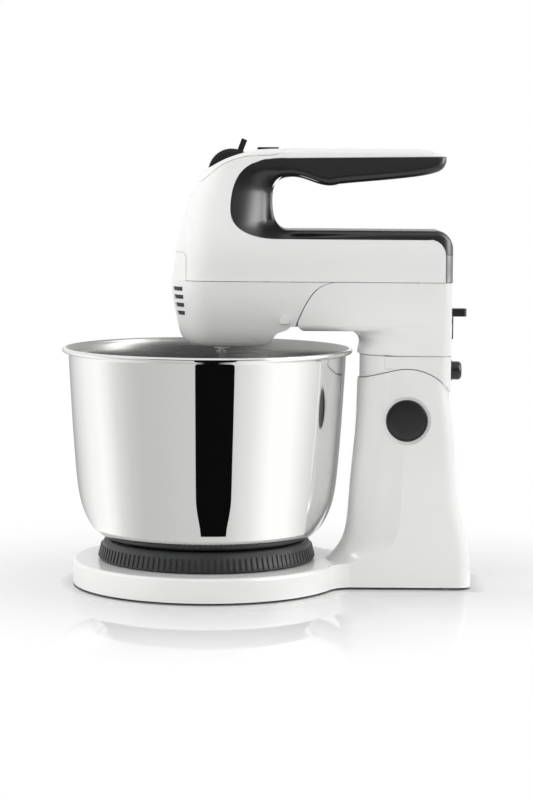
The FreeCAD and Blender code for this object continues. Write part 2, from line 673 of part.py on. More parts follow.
# ------------------------------------------------------------------ tilting head
def neck_collar():
    """Shell between the column's crown and the arm, with ribs that grip the tongue."""
    low = PIVOT_Z + 15
    plan = (COLUMN_FRONT, COLUMN_REAR, COLUMN_HALF_WIDTH, COLUMN_NOSE, 0.0)
    outer = column_body([(low,) + plan, (COLLAR_TOP,) + plan], 0)
    shell = outer.cut(column_body([(low - 1,) + plan, (COLLAR_TOP + 1,) + plan], ARM_WALL))
    groove = box(-FAR, FAR, -FAR, FAR, COLLAR_TOP - SEAM_GAP, COLLAR_TOP + 1)
    shell = shell.cut(groove.cut(column_body([(low,) + plan, (COLLAR_TOP + 2,) + plan], GROOVE_DEPTH)))
    shell = shell.cut(crown_cutter(CROWN_RADIUS + CROWN_GAP))
    keep_z = PIVOT_Z + CROWN_RADIUS + CROWN_GAP + 0.4
    edge = COLUMN_HALF_WIDTH - ARM_WALL / 2
    for side in (-1, 1):
        ends = sorted((side * TONGUE_HALF, side * edge))
        shell = shell.fuse(box(PIVOT_X - 18, PIVOT_X - 6, ends[0], ends[1], keep_z, COLLAR_TOP))
    shell = shell.fuse(box(BUTTON_SEAT - 1.5, BUTTON_SEAT, -edge, edge, BUTTON_Z - 4.6, BUTTON_Z + 6.5))
    return shell.cut(cylinder_x(0, BUTTON_Z, BUTTON_RADIUS + 0.2, COLUMN_REAR - 5, COLUMN_REAR + 5))


def cradle_arm():
    """Tray-shaped arm that the hand mixer sits in, with the neck that joins the collar."""
    outer = lower_body(0).common(across(arm_side(0), FAR))
    outer = outer.common(box(-FAR, FAR, -FAR, FAR, ARM_BOTTOM, SEAM_Z))
    low_edges = [edge for edge in outer.Edges if edge.BoundBox.ZMax < ARM_BOTTOM + 0.1]
    outer = outer.makeFillet(ARM_EDGE, low_edges)
    wide = MIXER_HALF_WIDTH - 3.6
    neck = [(COLLAR_TOP, COLUMN_FRONT, COLUMN_REAR, COLUMN_HALF_WIDTH),
            (COLLAR_TOP + 10, COLUMN_FRONT - 0.8, COLUMN_REAR, (COLUMN_HALF_WIDTH + wide) / 2 + 0.4),
            (ARM_BOTTOM - 2, COLUMN_FRONT - 5.5, COLUMN_REAR, wide - 0.5),
            (ARM_BOTTOM + 1, COLUMN_FRONT - 11.0, COLUMN_REAR, wide),
            (ARM_BOTTOM + ARM_EDGE, COLUMN_FRONT - 14.0, COLUMN_REAR, wide + 0.4)]
    neck = [level + (COLUMN_NOSE, 0.0) for level in neck]
    solid = outer.fuse(column_body(neck, 0))
    tray = lower_body(ARM_WALL).common(box(-FAR, FAR, -FAR, FAR, ARM_BOTTOM + ARM_WALL, SEAM_Z + 1))
    solid = solid.cut(tray)
    inside = column_body(neck, ARM_WALL)
    solid = solid.cut(inside.common(box(-FAR, FAR, -FAR, FAR, COLLAR_TOP - 1, ARM_BOTTOM)))
    low = ARM_BOTTOM + ARM_WALL
    solid = solid.cut(box(MIXER_REAR - ARM_WALL - 2, MIXER_REAR + 2, -4.3, 4.3, low + 0.6, low + 10))
    for x, y in neck_screw_places():
        solid = solid.cut(cylinder_z(x, y, SCREW_RADIUS + 0.2, ARM_BOTTOM - 1, low + 1))
    return solid


def neck_screw_places():
    """Where the neck frame's flange is screwed to the arm's floor."""
    return [(x, y) for x in (PIVOT_X - 24, PIVOT_X + 18) for y in (-17.0, 17.0)]


def neck_frame():
    """Hinge tongue inside the collar: an eye on the pin, a flange under the arm and a slot shield."""
    rear = PIVOT_X + TONGUE_REAR
    tongue = polygon([(PIVOT_X - TONGUE_FRONT, ARM_BOTTOM), (rear, ARM_BOTTOM), (rear, PIVOT_Z + 25),
                      (PIVOT_X + TONGUE_EYE, PIVOT_Z), (PIVOT_X - TONGUE_EYE, PIVOT_Z),
                      (PIVOT_X - TONGUE_FRONT, PIVOT_Z + 30)])
    frame = across(tongue, TONGUE_HALF).fuse(
        cylinder_y(PIVOT_X, PIVOT_Z, TONGUE_EYE, -TONGUE_HALF, TONGUE_HALF))
    frame = frame.fuse(box(PIVOT_X - 27, PIVOT_X + 24, -20.5, 20.5, ARM_BOTTOM - 3, ARM_BOTTOM))
    outside = CROWN_RADIUS - STAND_WALL - 0.8
    shield = polygon([(PIVOT_X, PIVOT_Z), pivot_point(90, 118), pivot_point(90, 153)])
    shield = across(shield, TONGUE_HALF).common(
        cylinder_y(PIVOT_X, PIVOT_Z, outside, -FAR, FAR).cut(
            cylinder_y(PIVOT_X, PIVOT_Z, outside - SHIELD_WALL, -FAR, FAR)))
    frame = fuse([frame, shield])
    frame = frame.cut(cylinder_y(PIVOT_X, PIVOT_Z, PIN_RADIUS + PIN_CLEARANCE, -FAR, FAR))
    for x, y in neck_screw_places():
        frame = frame.cut(cylinder_z(x, y, SCREW_RADIUS, ARM_BOTTOM - 5, ARM_BOTTOM + 1))
    return frame


def neck_screws():
    """Screws down through the arm's floor into the neck frame."""
    top = ARM_BOTTOM + ARM_WALL
    return [cylinder_z(x, y, SCREW_RADIUS, ARM_BOTTOM - 3, top - 0.2) for x, y in neck_screw_places()]


def tilt_bezel():
    """Flange round the tilt button on the collar's rear."""
    return cylinder_x(0, BUTTON_Z, BUTTON_RADIUS + 1.4, COLUMN_REAR, COLUMN_REAR + 1.7).cut(
        cylinder_x(0, BUTTON_Z, BUTTON_RADIUS + 0.2, COLUMN_REAR - 1, COLUMN_REAR + 3))


def tilt_button():
    """Hollow domed push button, with two ears that keep it in the collar."""
    inner_end = COLUMN_REAR - ARM_WALL - PLATE_GAP
    body = cylinder_x(0, BUTTON_Z, BUTTON_RADIUS, inner_end, COLUMN_REAR + BUTTON_OUT)
    rim = [edge for edge in body.Edges if edge.BoundBox.XMin > COLUMN_REAR + BUTTON_OUT - 1e-6]
    body = body.makeFillet(3.0, rim)
    body = body.cut(cylinder_x(0, BUTTON_Z, BUTTON_RADIUS - 2, inner_end - 1, COLUMN_REAR + BUTTON_OUT - 3))
    reach = BUTTON_RADIUS + 2.6
    ears = box(inner_end - BUTTON_EAR, inner_end, -reach, reach, BUTTON_Z - 2.5, BUTTON_Z + 4.5)
    ears = ears.cut(cylinder_x(0, BUTTON_Z, BUTTON_RADIUS - 2, inner_end - 3, inner_end + 1))
    return fuse([body, ears])


def tilt_spring():
    """Return spring inside the tilt button."""
    length = COLUMN_REAR + BUTTON_OUT - 3.1 - BUTTON_SEAT - 0.1
    return coil(Vector(BUTTON_SEAT + 0.1, 0, BUTTON_Z), Vector(1, 0, 0), 3.6, 0.5, length, 6)


def coil(start, direction, radius, wire, length, turns):
    """A helical spring of round wire, from start along direction."""
    pitch = (length - 2 * wire) / turns
    helix = Part.makeHelix(pitch, pitch * turns, radius)
    profile = Part.Wire(Part.makeCircle(wire, Vector(radius, 0, 0), Vector(0, 1, 0)))
    spring = Part.Wire(helix.Edges).makePipeShell([profile], True, True)
    spring = spring.translated(Vector(0, 0, wire))
    turn = Rotation(Vector(0, 0, 1), direction)
    spring.Placement = FreeCAD.Placement(start, turn).multiply(spring.Placement)
    return spring


def release_slider():
    """L-shaped catch on the arm's rear: a thumb ledge, a flat plate and a hook through the wall."""
    rear = MIXER_REAR + 0.2
    plate = box(rear, rear + 2.0, -SLIDER_HALF, SLIDER_HALF, SLIDER_LOW, SLIDER_HIGH)
    ledge = box(rear, rear + 12.6, -SLIDER_HALF, SLIDER_HALF, SLIDER_HIGH - 6.2, SLIDER_HIGH)
    tips = [edge for edge in ledge.Edges if edge.BoundBox.XMin > rear + 12.5 and edge.BoundBox.ZLength > 1]
    ledge = ledge.makeFillet(2.5, tips)
    hook_z = ARM_BOTTOM + ARM_WALL + SLIDER_TRAVEL + 1.2
    hook = box(MIXER_REAR - 6.6, rear, -3.9, 3.9, hook_z, hook_z + 3.2)
    return fuse([plate, ledge, hook])


def release_spring():
    """Small spring under the slider's hook, in the slot of the arm's rear wall."""
    low = ARM_BOTTOM + ARM_WALL + 0.7
    return coil(Vector(MIXER_REAR - 1.6, 0, low), Vector(0, 0, 1), 1.0, 0.3, SLIDER_TRAVEL + 0.3, 6)


# ------------------------------------------------------------------ hand mixer: covers
def nested_bottom(depth):
    """Side outline of the lower housing: a deep nose and a shallower body inside the arm."""
    low = ARM_BOTTOM + ARM_WALL + NEST_GAP + depth
    nose = NOSE_BOTTOM + depth
    return outline(
        [(-60.0, nose), (43.0 - depth, nose + 1.2)],
        [(43.0 - depth, nose + 1.2), (48.5 - depth, nose + 2.8), (52.0 - depth, nose + 6.0),
         (54.5 - depth, nose + 10.5), (59.5 - depth, nose + 13.0), (66.0 - depth, low)],
        [(66.0 - depth, low), (FAR, low)],
        [(FAR, low), (FAR, SEAM_Z + 5)],
        [(FAR, SEAM_Z + 5), (-60.0, SEAM_Z + 5)])


def lower_form(inset):
    """Solid form of the lower housing: full width at the nose, stepped in where it nests."""
    step = ARM_WALL + NEST_GAP + inset
    nest = across(arm_side(0.8 - inset), FAR)
    nose = lower_body(inset).cut(nest)
    nested = lower_body(step).common(nest)
    form = nose.fuse(nested).common(across(nested_bottom(inset), FAR))
    return form


def lower_housing():
    """Lower shell of the hand mixer, with vents, spindle holes, screw posts and a slot for the catch."""
    shell = lower_form(0).cut(lower_form(HOUSING_WALL))
    for x, y in housing_screw_places():
        shell = shell.fuse(cylinder_z(x, y, POST_RADIUS, ARM_BOTTOM + ARM_WALL + NEST_GAP + 1, SEAM_Z))
    for x, y in case_post_places():
        shell = shell.fuse(cylinder_z(x, y, POST_RADIUS - 0.8, NOSE_BOTTOM + 1.2, SHAFT_Z - 18))
    for x, y in housing_screw_places():
        shell = shell.cut(cylinder_z(x, y, SCREW_RADIUS, 190, SEAM_Z + 1))
        shell = shell.cut(cylinder_z(x, y, SCREW_HEAD + 0.1, 190, ARM_BOTTOM + ARM_WALL + 4))
    for side in (-1, 1):
        shell = shell.cut(cylinder_z(BEATER_X, side * GEAR_Y, SPINDLE_RADIUS + 1, 180, 215))
    for index in range(VENT_COUNT):
        low = VENT_LOW + VENT_PITCH * index
        rear = VENT_REAR - VENT_RAKE * index
        for side in (-1, 1):
            ends = sorted((side * VENT_START, side * FAR))
            shell = shell.cut(box(-60, rear, ends[0], ends[1], low, low + VENT_HEIGHT))
    low = ARM_BOTTOM + ARM_WALL
    shell = shell.cut(box(MIXER_REAR - 7.4, MIXER_REAR, -4.6, 4.6, low - 1, low + 10.4))
    return largest(shell)


def largest(shape):
    """The largest solid of a cut, without any crumbs."""
    return max(shape.Solids, key=lambda solid: solid.Volume)


def housing_screw_places():
    """Where screws join the two housings: beside the finger opening's front and at the rear."""
    return [(59.0, -26.0), (59.0, 26.0), (178.0, -20.0), (178.0, 20.0)]


def case_post_places():
    """Where posts from the nose carry the gear case."""
    return [(-9.0, -12.0), (-9.0, 12.0), (36.0, -20.0), (36.0, 20.0)]


def upper_form(low=SEAM_Z + SEAM_GAP):
    """Solid form of everything above the seam, its top edges rounded, with no finger opening."""
    form = upper_body(0).common(across(silhouette(0), FAR)).common(box(-FAR, FAR, -FAR, FAR, low, FAR))
    rims = [edge for edge in form.Edges if edge.BoundBox.ZMax > BODY_TOP + 21
            and (edge.BoundBox.YMin > 1 or edge.BoundBox.YMax < -1 or edge.BoundBox.XMin < 0)]
    return form.makeFillet(TOP_EDGE, rims)


def upper_cavity():
    """The hollow inside the upper housing, panel and grip."""
    return upper_body(HOUSING_WALL).common(across(silhouette(HOUSING_WALL), FAR))


def badge_zone(grow):
    """Where the bare inlay sits on the nose, from the seam up, its rear top corner rounded."""
    rear = BADGE_REAR + grow
    high = SEAM_Z + BADGE_HEIGHT + grow
    zone = box(-60, rear, -FAR, FAR, SEAM_Z, high)
    corner = [edge for edge in zone.Edges
              if edge.BoundBox.XMin > rear - 0.01 and edge.BoundBox.ZMin > high - 0.01]
    return zone.makeFillet(BADGE_CORNER + grow, corner)


def wheel_slot():
    """Slot in the top for the speed wheel."""
    half = WHEEL_HALF + 0.4
    return box(WHEEL_X - WHEEL_RADIUS - 0.6, WHEEL_X + 13.8, -half, half, WHEEL_Z - 6, FAR)


def upper_housing():
    """White upper shell: nose, pillar, body top and the top of the handle."""
    shell = upper_form().cut(upper_cavity())
    shell = shell.cut(across(grip_region(PART_LINE), FAR))
    shell = shell.cut(across(panel_region(PART_LINE), FAR))
    badge_floor = upper_body(BADGE_DEPTH + PART_LINE)
    shell = shell.cut(badge_zone(PART_LINE).cut(badge_floor))
    ledges = box(-2, 15, -FAR, FAR, BOARD_Z - 4, BOARD_Z).cut(box(-3, 16, -20, 20, BOARD_Z - 5, BOARD_Z + 1))
    shell = shell.fuse(ledges.common(upper_body(1.0)))
    for x, y in housing_screw_places():
        wall = FAR if y > 0 else -FAR
        ends = sorted((y - math.copysign(POST_RADIUS, y), wall))
        boss = box(x - POST_RADIUS, x + POST_RADIUS, ends[0], ends[1], SEAM_Z + SEAM_GAP, SEAM_Z + 18)
        shell = shell.fuse(boss.common(upper_body(1.0)))
        shell = shell.cut(cylinder_z(x, y, SCREW_RADIUS, SEAM_Z - 1, SEAM_Z + 14.2))
    shell = shell.cut(cylinder_y(GLAND_X, SEAM_Z + 14, GLAND_RADIUS + PIN_CLEARANCE, 0, FAR))
    shell = shell.cut(wheel_slot())
    return largest(shell)


def control_panel():
    """Inlay on the sloping top, with the wheel's slot and the eject button's hole."""
    panel = upper_form().cut(upper_cavity()).common(across(panel_region(0), FAR))
    panel = panel.cut(across(grip_region(PART_LINE), FAR)).cut(wheel_slot())
    half = EJECT_HALF + 0.3
    return largest(panel.cut(box(EJECT_FRONT - 0.3, EJECT_REAR + 0.3, -half, half, 330, FAR)))


def nose_badge():
    """Bare inlay on the nose."""
    zone = upper_form(SEAM_Z).common(badge_zone(0))
    return largest(zone.cut(upper_body(BADGE_DEPTH)))


def opened_form():
    """The form above the seam with its finger opening, whose edges are well rounded."""
    body = upper_body(-OPENING_PROUD).cut(across(finger_opening(0), FAR))
    edges = [edge for edge in body.Edges
             if edge.BoundBox.ZMin > TRIM_TOP and abs(edge.BoundBox.YMin + edge.BoundBox.YMax) > 1]
    return upper_form().common(body.makeFillet(OPENING_EDGE, edges))


def grip_band(inside):
    """The dark band round the finger opening, as a channel open towards the white shell."""
    band = opened_form().common(across(grip_region(0), FAR))
    return band.cut(upper_cavity().cut(across(finger_opening(inside), FAR)))


def handle_grip():
    """Soft grip under the handle, round the pillar and along the body's top."""
    band = grip_band(HOUSING_WALL)
    return largest(band.cut(box(GRIP_REAR - 10, FAR, -FAR, FAR, SEAM_Z - 5, TRIM_TOP + PART_LINE)))


def rear_trim():
    """Grey strip down the body's rear, below the grip."""
    band = grip_band(HOUSING_WALL)
    return largest(band.common(box(GRIP_REAR - 10, FAR, -FAR, FAR, SEAM_Z + SEAM_GAP, TRIM_TOP)))


def housing_screws():
    """Four long screws from below into the upper housing."""
    low = ARM_BOTTOM + ARM_WALL + 2
    screws = []
    for x, y in housing_screw_places():
        head = cylinder_z(x, y, SCREW_HEAD, low, low + 2)
        screws.append(fuse([head, cylinder_z(x, y, SCREW_RADIUS, low + 2, SEAM_Z + 14)]))
    return screws


def cord_gland():
    """Bush on the far side that the mains lead would leave by."""
    wall = MIXER_HALF_WIDTH
    bush = fuse([cylinder_y(GLAND_X, SEAM_Z + 14, GLAND_RADIUS, wall - 5, wall + 5),
                 cylinder_y(GLAND_X, SEAM_Z + 14, GLAND_RADIUS + 1.5, wall - 0.1, wall + 2.5)])
    return bush.cut(cylinder_y(GLAND_X, SEAM_Z + 14, GLAND_RADIUS - 2, 0, FAR))


# ------------------------------------------------------------------ hand mixer: controls
def speed_wheel():
    """Thumb wheel across the nose's top, with a lever."""
    disc = cylinder_y(WHEEL_X, WHEEL_Z, WHEEL_RADIUS, -WHEEL_HALF, WHEEL_HALF)
    disc = disc.makeFillet(1.2, [edge for edge in disc.Edges if edge.BoundBox.XLength > WHEEL_RADIUS])
    angle = math.radians(LEVER_ANGLE)
    out = (math.cos(angle), math.sin(angle))
    side = (-out[1], out[0])
    outline_points = ((14, 3.6), (LEVER_REACH - 2, 2.0), (LEVER_REACH, 0.6), (LEVER_REACH, -1.6),
                      (LEVER_REACH - 2, -3.0), (14, -4.2))
    lever = polygon([(WHEEL_X + out[0] * reach + side[0] * off, WHEEL_Z + out[1] * reach + side[1] * off)
                     for reach, off in outline_points])
    return fuse([disc, across(lever, WHEEL_HALF - 0.5)]).cut(
        cylinder_y(WHEEL_X, WHEEL_Z, AXLE_RADIUS + PIN_CLEARANCE, -FAR, FAR))


def wheel_axle():
    """Pin that the speed wheel turns on."""
    return cylinder_y(WHEEL_X, WHEEL_Z, AXLE_RADIUS, -12, 12)


def switch_module():
    """Speed switch on the board, with two ears that hold the wheel's axle."""
    low = BOARD_Z + BOARD_THICKNESS
    base = box(0, PILLAR_REAR - HOUSING_WALL - MODULE_GAP, -11, 11, low, low + 5)
    parts = [base]
    for side in (-1, 1):
        ends = sorted((side * (WHEEL_HALF + 1), side * (WHEEL_HALF + 4)))
        parts.append(box(WHEEL_X - 6, WHEEL_X + 6, ends[0], ends[1], low + 5, WHEEL_Z + 5))
    module = fuse(parts).cut(cylinder_y(WHEEL_X, WHEEL_Z, AXLE_RADIUS, -FAR, FAR))
    return module.cut(cylinder_z(EJECT_X, 0, ROD_RADIUS + 0.3, low - 1, low + 6))


def circuit_board():
    """Speed control board on the housing's ledges."""
    high = BOARD_Z + BOARD_THICKNESS
    board = box(-6, BOARD_STEP, -24, 24, BOARD_Z, high)
    board = board.fuse(box(BOARD_STEP, EJECT_X + 4, -13, 13, BOARD_Z, high)).removeSplitter()
    board = board.common(upper_body(HOUSING_WALL + 0.3))
    return board.cut(cylinder_z(EJECT_X, 0, ROD_RADIUS + 0.5, BOARD_Z - 1, high + 1))


def eject_button():
    """Button in the panel that pushes the beaters out."""
    low = EJECT_TOP - 8
    cap = box(EJECT_FRONT, EJECT_REAR, -EJECT_HALF, EJECT_HALF, low, EJECT_TOP)
    cap = cap.makeFillet(1.5, [edge for edge in cap.Edges if edge.BoundBox.ZMin > EJECT_TOP - 1e-6])
    rod = cylinder_z(EJECT_X, 0, ROD_RADIUS, SHAFT_Z + 16, low)
    spring_top = BOARD_Z + BOARD_THICKNESS + 5 + EJECT_SPRING
    collar = cylinder_z(EJECT_X, 0, ROD_RADIUS + 2.5, spring_top, spring_top + 2)
    return fuse([cap, rod, collar])


def eject_plate():
    """Yoke on the eject rod, with a pin over each beater shaft."""
    high = SHAFT_Z + 16
    plate = box(BEATER_X - 5, EJECT_X + 4, -6, 6, high - 2, high)
    yoke = box(BEATER_X - 5, BEATER_X + 5, -GEAR_Y - 4, GEAR_Y + 4, high - 2, high)
    low = BEATER_TOP + EJECT_TRAVEL + 0.1
    pins = [cylinder_z(BEATER_X, side * GEAR_Y, BEATER_SHAFT - 0.8, low, high - 2) for side in (-1, 1)]
    return fuse([plate, yoke] + pins)


def eject_spring():
    """Return spring round the eject rod."""
    low = BOARD_Z + BOARD_THICKNESS + 5.1
    return coil(Vector(EJECT_X, 0, low), Vector(0, 0, 1), ROD_RADIUS + 1.3, 0.5, EJECT_SPRING - 0.2, 6)


# ------------------------------------------------------------------ hand mixer: drive
def gear_case():
    """Bracket under the gears, with bearings for the spindles and the worm shaft."""
    low = SHAFT_Z - 18
    plate = box(-2, 52, -29, 29, low, low + 6)
    nose = box(-15, -2, -17, 17, low, low + 6)
    front = box(-13, -8, -8, 8, low + 6, SHAFT_Z + 8)
    rear = box(44, 50, -10, 10, low + 6, SHAFT_Z + 8)
    case = fuse([plate, nose, front, rear])
    for side in (-1, 1):
        case = case.cut(cylinder_z(BEATER_X, side * GEAR_Y, SPINDLE_RADIUS + PIN_CLEARANCE, 200, 300))
    return case.cut(cylinder_x(0, SHAFT_Z, SHAFT_RADIUS + PIN_CLEARANCE, -FAR, FAR))


def gear(side):
    """Worm wheel with its hollow spindle; one for each beater."""
    y = side * GEAR_Y
    wheel = cylinder_z(BEATER_X, y, GEAR_RADIUS, SHAFT_Z - GEAR_HALF, SHAFT_Z + GEAR_HALF)
    notch = box(GEAR_RADIUS - GEAR_DEPTH, GEAR_RADIUS + 1, -0.5, 0.5, -GEAR_HALF - 1, GEAR_HALF + 1)
    notches = []
    for index in range(GEAR_TEETH):
        tooth = notch.copy()
        tooth.rotate(Vector(0, 0, 0), Vector(0, 0, 1), 360.0 * index / GEAR_TEETH)
        notches.append(tooth.translated(Vector(BEATER_X, y, SHAFT_Z)))
    wheel = wheel.cut(Part.makeCompound(notches))
    spindle = cylinder_z(BEATER_X, y, SPINDLE_RADIUS, NOSE_BOTTOM - 1, SHAFT_Z - GEAR_HALF)
    hub = cylinder_z(BEATER_X, y, SPINDLE_RADIUS, SHAFT_Z + GEAR_HALF, SHAFT_Z + GEAR_HALF + 3)
    solid = fuse([wheel, spindle, hub])
    return solid.cut(cylinder_z(BEATER_X, y, BEATER_SHAFT + PIN_CLEARANCE, 150, 300))


def beater(side, phase):
    """Beater: a shaft, a collar and four flat vanes bent into a cage."""
    y = side * GEAR_Y
    top = BEATER_BOTTOM + BEATER_CAGE
    wide = BEATER_RADIUS

    def vane(inset):
        reach = wide - inset
        low = BEATER_BOTTOM + inset
        high = top - inset
        shoulder = top - 34
        return outline(
            [(-reach, low + 17), (-reach * 0.76, low + 4.6), (0, low), (reach * 0.76, low + 4.6),
             (reach, low + 17)],
            [(reach, low + 17), (reach, shoulder)],
            [(reach, shoulder), (reach * 0.80, shoulder + 16), (3.0, high)],
            [(3.0, high), (-3.0, high)],
            [(-3.0, high), (-reach * 0.80, shoulder + 16), (-reach, shoulder)],
            [(-reach, shoulder), (-reach, low + 17)])

    ring = vane(0).cut(vane(BEATER_STRIP))
    strip = ring.translated(Vector(0, -BEATER_WIDTH / 2, 0)).extrude(Vector(0, BEATER_WIDTH, 0))
    crossed = strip.copy()
    crossed.rotate(Vector(0, 0, 0), Vector(0, 0, 1), 90)
    shaft = cylinder_z(0, 0, BEATER_SHAFT, BEATER_BOTTOM + 0.4, BEATER_TOP)
    collar = cylinder_z(0, 0, 5.0, NOSE_BOTTOM - 5, NOSE_BOTTOM - 3)
    solid = fuse([strip, crossed, shaft, collar])
    solid.rotate(Vector(0, 0, 0), Vector(0, 0, 1), phase)
    return solid.translated(Vector(BEATER_X, y, 0))


def rotor_shaft():
    """Motor shaft with the worm at its front."""
    worm = cylinder_x(0, SHAFT_Z, WORM_RADIUS, BEATER_X - 13, BEATER_X + 13)
    return fuse([worm, cylinder_x(0, SHAFT_Z, SHAFT_RADIUS, -16, BRACKET_REAR + 7)])


def on_shaft(radius, x0, x1):
    """A round piece pressed on the motor shaft."""
    return cylinder_x(0, SHAFT_Z, radius, x0, x1).cut(cylinder_x(0, SHAFT_Z, SHAFT_RADIUS, x0 - 1, x1 + 1))


def armature():
    """Slotted iron core of the rotor."""
    core = on_shaft(ARMATURE_RADIUS, STATOR_FRONT + 3, STATOR_REAR - 3)
    slots = []
    for index in range(12):
        slot = box(STATOR_FRONT, STATOR_REAR, -0.9, 0.9, ARMATURE_RADIUS - 7, ARMATURE_RADIUS + 1)
        slot.rotate(Vector(0, 0, 0), Vector(1, 0, 0), 30 * index)
        slots.append(slot.translated(Vector(0, 0, SHAFT_Z)))
    return core.cut(Part.makeCompound(slots))


def armature_windings():
    """Copper end turns at both ends of the core."""
    return [on_shaft(ARMATURE_RADIUS - 3, STATOR_FRONT - 3, STATOR_FRONT + 3),
            on_shaft(ARMATURE_RADIUS - 3, STATOR_REAR - 3, STATOR_REAR + 3)]


def commutator():
    """Copper segments that the brushes run on."""
    return on_shaft(8.0, 148, 159)


def cooling_fan():
    """Fan between the gears and the motor."""
    hub = on_shaft(7.0, BRACKET_FRONT + 9, BRACKET_FRONT + 19)
    blades = [hub, on_shaft(22.0, BRACKET_FRONT + 17.5, BRACKET_FRONT + 19)]
    for index in range(9):
        blade = box(BRACKET_FRONT + 10, BRACKET_FRONT + 18, -0.6, 0.6, 6, 21.5)
        blade.rotate(Vector(0, 0, 0), Vector(1, 0, 0), 40 * index)
        blades.append(blade.translated(Vector(0, 0, SHAFT_Z)))
    return fuse(blades)


def stator():
    """Laminated field ring round the armature."""
    ring = cylinder_x(0, SHAFT_Z, STATOR_RADIUS, STATOR_FRONT, STATOR_REAR)
    bore = cylinder_x(0, SHAFT_Z, ARMATURE_RADIUS + AIR_GAP, STATOR_FRONT - 1, STATOR_REAR + 1)
    windows = box(STATOR_FRONT - 1, STATOR_REAR + 1, -15, 15, SHAFT_Z - 22, SHAFT_Z + 22)
    return ring.cut(bore).cut(windows)


def field_coils():
    """Two field windings, above and below the armature."""
    outer = cylinder_x(0, SHAFT_Z, 22.0, STATOR_FRONT - 6, STATOR_REAR + 3)
    inner = cylinder_x(0, SHAFT_Z, ARMATURE_RADIUS + 1.5, STATOR_FRONT - 7, STATOR_REAR + 4)
    ring = outer.cut(inner)
    upper = ring.common(box(0, FAR, -14.6, 14.6, SHAFT_Z, SHAFT_Z + 21.9))
    lower = ring.common(box(0, FAR, -14.6, 14.6, SHAFT_Z - 21.9, SHAFT_Z))
    return [largest(upper), largest(lower)]


def motor_bracket(x, front):
    """End bracket: a plate on the housing's floor with the bearing seat and two arms to the stator."""
    low = ARM_BOTTOM + ARM_WALL + NEST_GAP + HOUSING_WALL
    plate = box(x, x + BRACKET_THICKNESS, -28, 28, low, SHAFT_Z + 14)
    arms = []
    span = (x, STATOR_FRONT) if front else (STATOR_REAR, x)
    for side in (-1, 1):
        ends = sorted((side * 23.0, side * 27.0))
        arms.append(box(span[0], span[1], ends[0], ends[1], SHAFT_Z - 6, SHAFT_Z + 6))
    bracket = fuse([plate] + arms)
    return bracket.cut(cylinder_x(0, SHAFT_Z, BEARING_RADIUS, x - 1, x + BRACKET_THICKNESS + 1))


def motor_bearings():
    """Two bushes that carry the rotor."""
    bore = SHAFT_RADIUS + PIN_CLEARANCE
    rings = []
    for x in (BRACKET_FRONT, BRACKET_REAR):
        bush = cylinder_x(0, SHAFT_Z, BEARING_RADIUS, x, x + BRACKET_THICKNESS)
        rings.append(bush.cut(cylinder_x(0, SHAFT_Z, bore, x - 1, x + BRACKET_THICKNESS + 1)))
    return rings


def brushes():
    """Two carbon blocks beside the commutator."""
    block = box(150, 157, 8.3, 18, SHAFT_Z - 3, SHAFT_Z + 3)
    return [block, mirrored(block)]


def brush_holders():
    """Sleeves that guide the brushes, fixed to the rear arms."""
    sleeve = box(148.5, 158.5, 10, 23, SHAFT_Z - 4.5, SHAFT_Z + 4.5).cut(
        box(150, 157, 5, 21, SHAFT_Z - 3, SHAFT_Z + 3))
    return [sleeve, mirrored(sleeve)]


def main():
    """Write every node."""
    os.makedirs("parts", exist_ok=True)
    save("stand_shell", stand_shell())
    save("base_plate", base_plate())
    save("rubber_feet", *rubber_feet())
    save("base_screws", *base_screws())
    save("hinge_pin", hinge_pin())
    save("pivot_caps", *pivot_caps())
    save("turntable_spindle", turntable_spindle())
    save("glide_pads", *glide_pads())
    save("turntable_ring", turntable_ring())
    save("turntable_plate", turntable_plate())
    save("bowl", bowl())
    save("bowl_foot", bowl_foot())
    save("neck_collar", neck_collar())
    save("cradle_arm", cradle_arm())
    save("neck_frame", neck_frame())
    save("neck_screws", *neck_screws())
    save("tilt_bezel", tilt_bezel())
    save("tilt_button", tilt_button())
    save("tilt_spring", tilt_spring())
    save("release_slider", release_slider())
    save("release_spring", release_spring())
    save("lower_housing", lower_housing())
    save("upper_housing", upper_housing())
    save("control_panel", control_panel())
    save("nose_badge", nose_badge())
    save("handle_grip", handle_grip())
    save("rear_trim", rear_trim())
    save("housing_screws", *housing_screws())
    save("cord_gland", cord_gland())
    save("speed_wheel", speed_wheel())
    save("wheel_axle", wheel_axle())
    save("switch_module", switch_module())
    save("circuit_board", circuit_board())
    save("eject_button", eject_button())
    save("eject_plate", eject_plate())
    save("eject_spring", eject_spring())
    save("gear_case", gear_case())
    save("left_gear", gear(-1))
    save("right_gear", gear(1))
    save("left_beater", beater(-1, 0))
    save("right_beater", beater(1, 45))
    save("rotor_shaft", rotor_shaft())
    save("armature", armature())
    save("armature_windings", *armature_windings())
    save("commutator", commutator())
    save("cooling_fan", cooling_fan())
    save("stator", stator())
    save("field_coils", *field_coils())
    save("front_bracket", motor_bracket(BRACKET_FRONT, True))
    save("rear_bracket", motor_bracket(BRACKET_REAR, False))
    save("motor_bearings", *motor_bearings())
    save("carbon_brushes", *brushes())
    save("brush_holders", *brush_holders())


main()
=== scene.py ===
"""Stand mixer: its finishes, its detailed pieces and the studio it stands in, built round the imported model."""
from __future__ import annotations

import logging
import math
from collections.abc import Callable
from dataclasses import dataclass, field
from enum import Enum

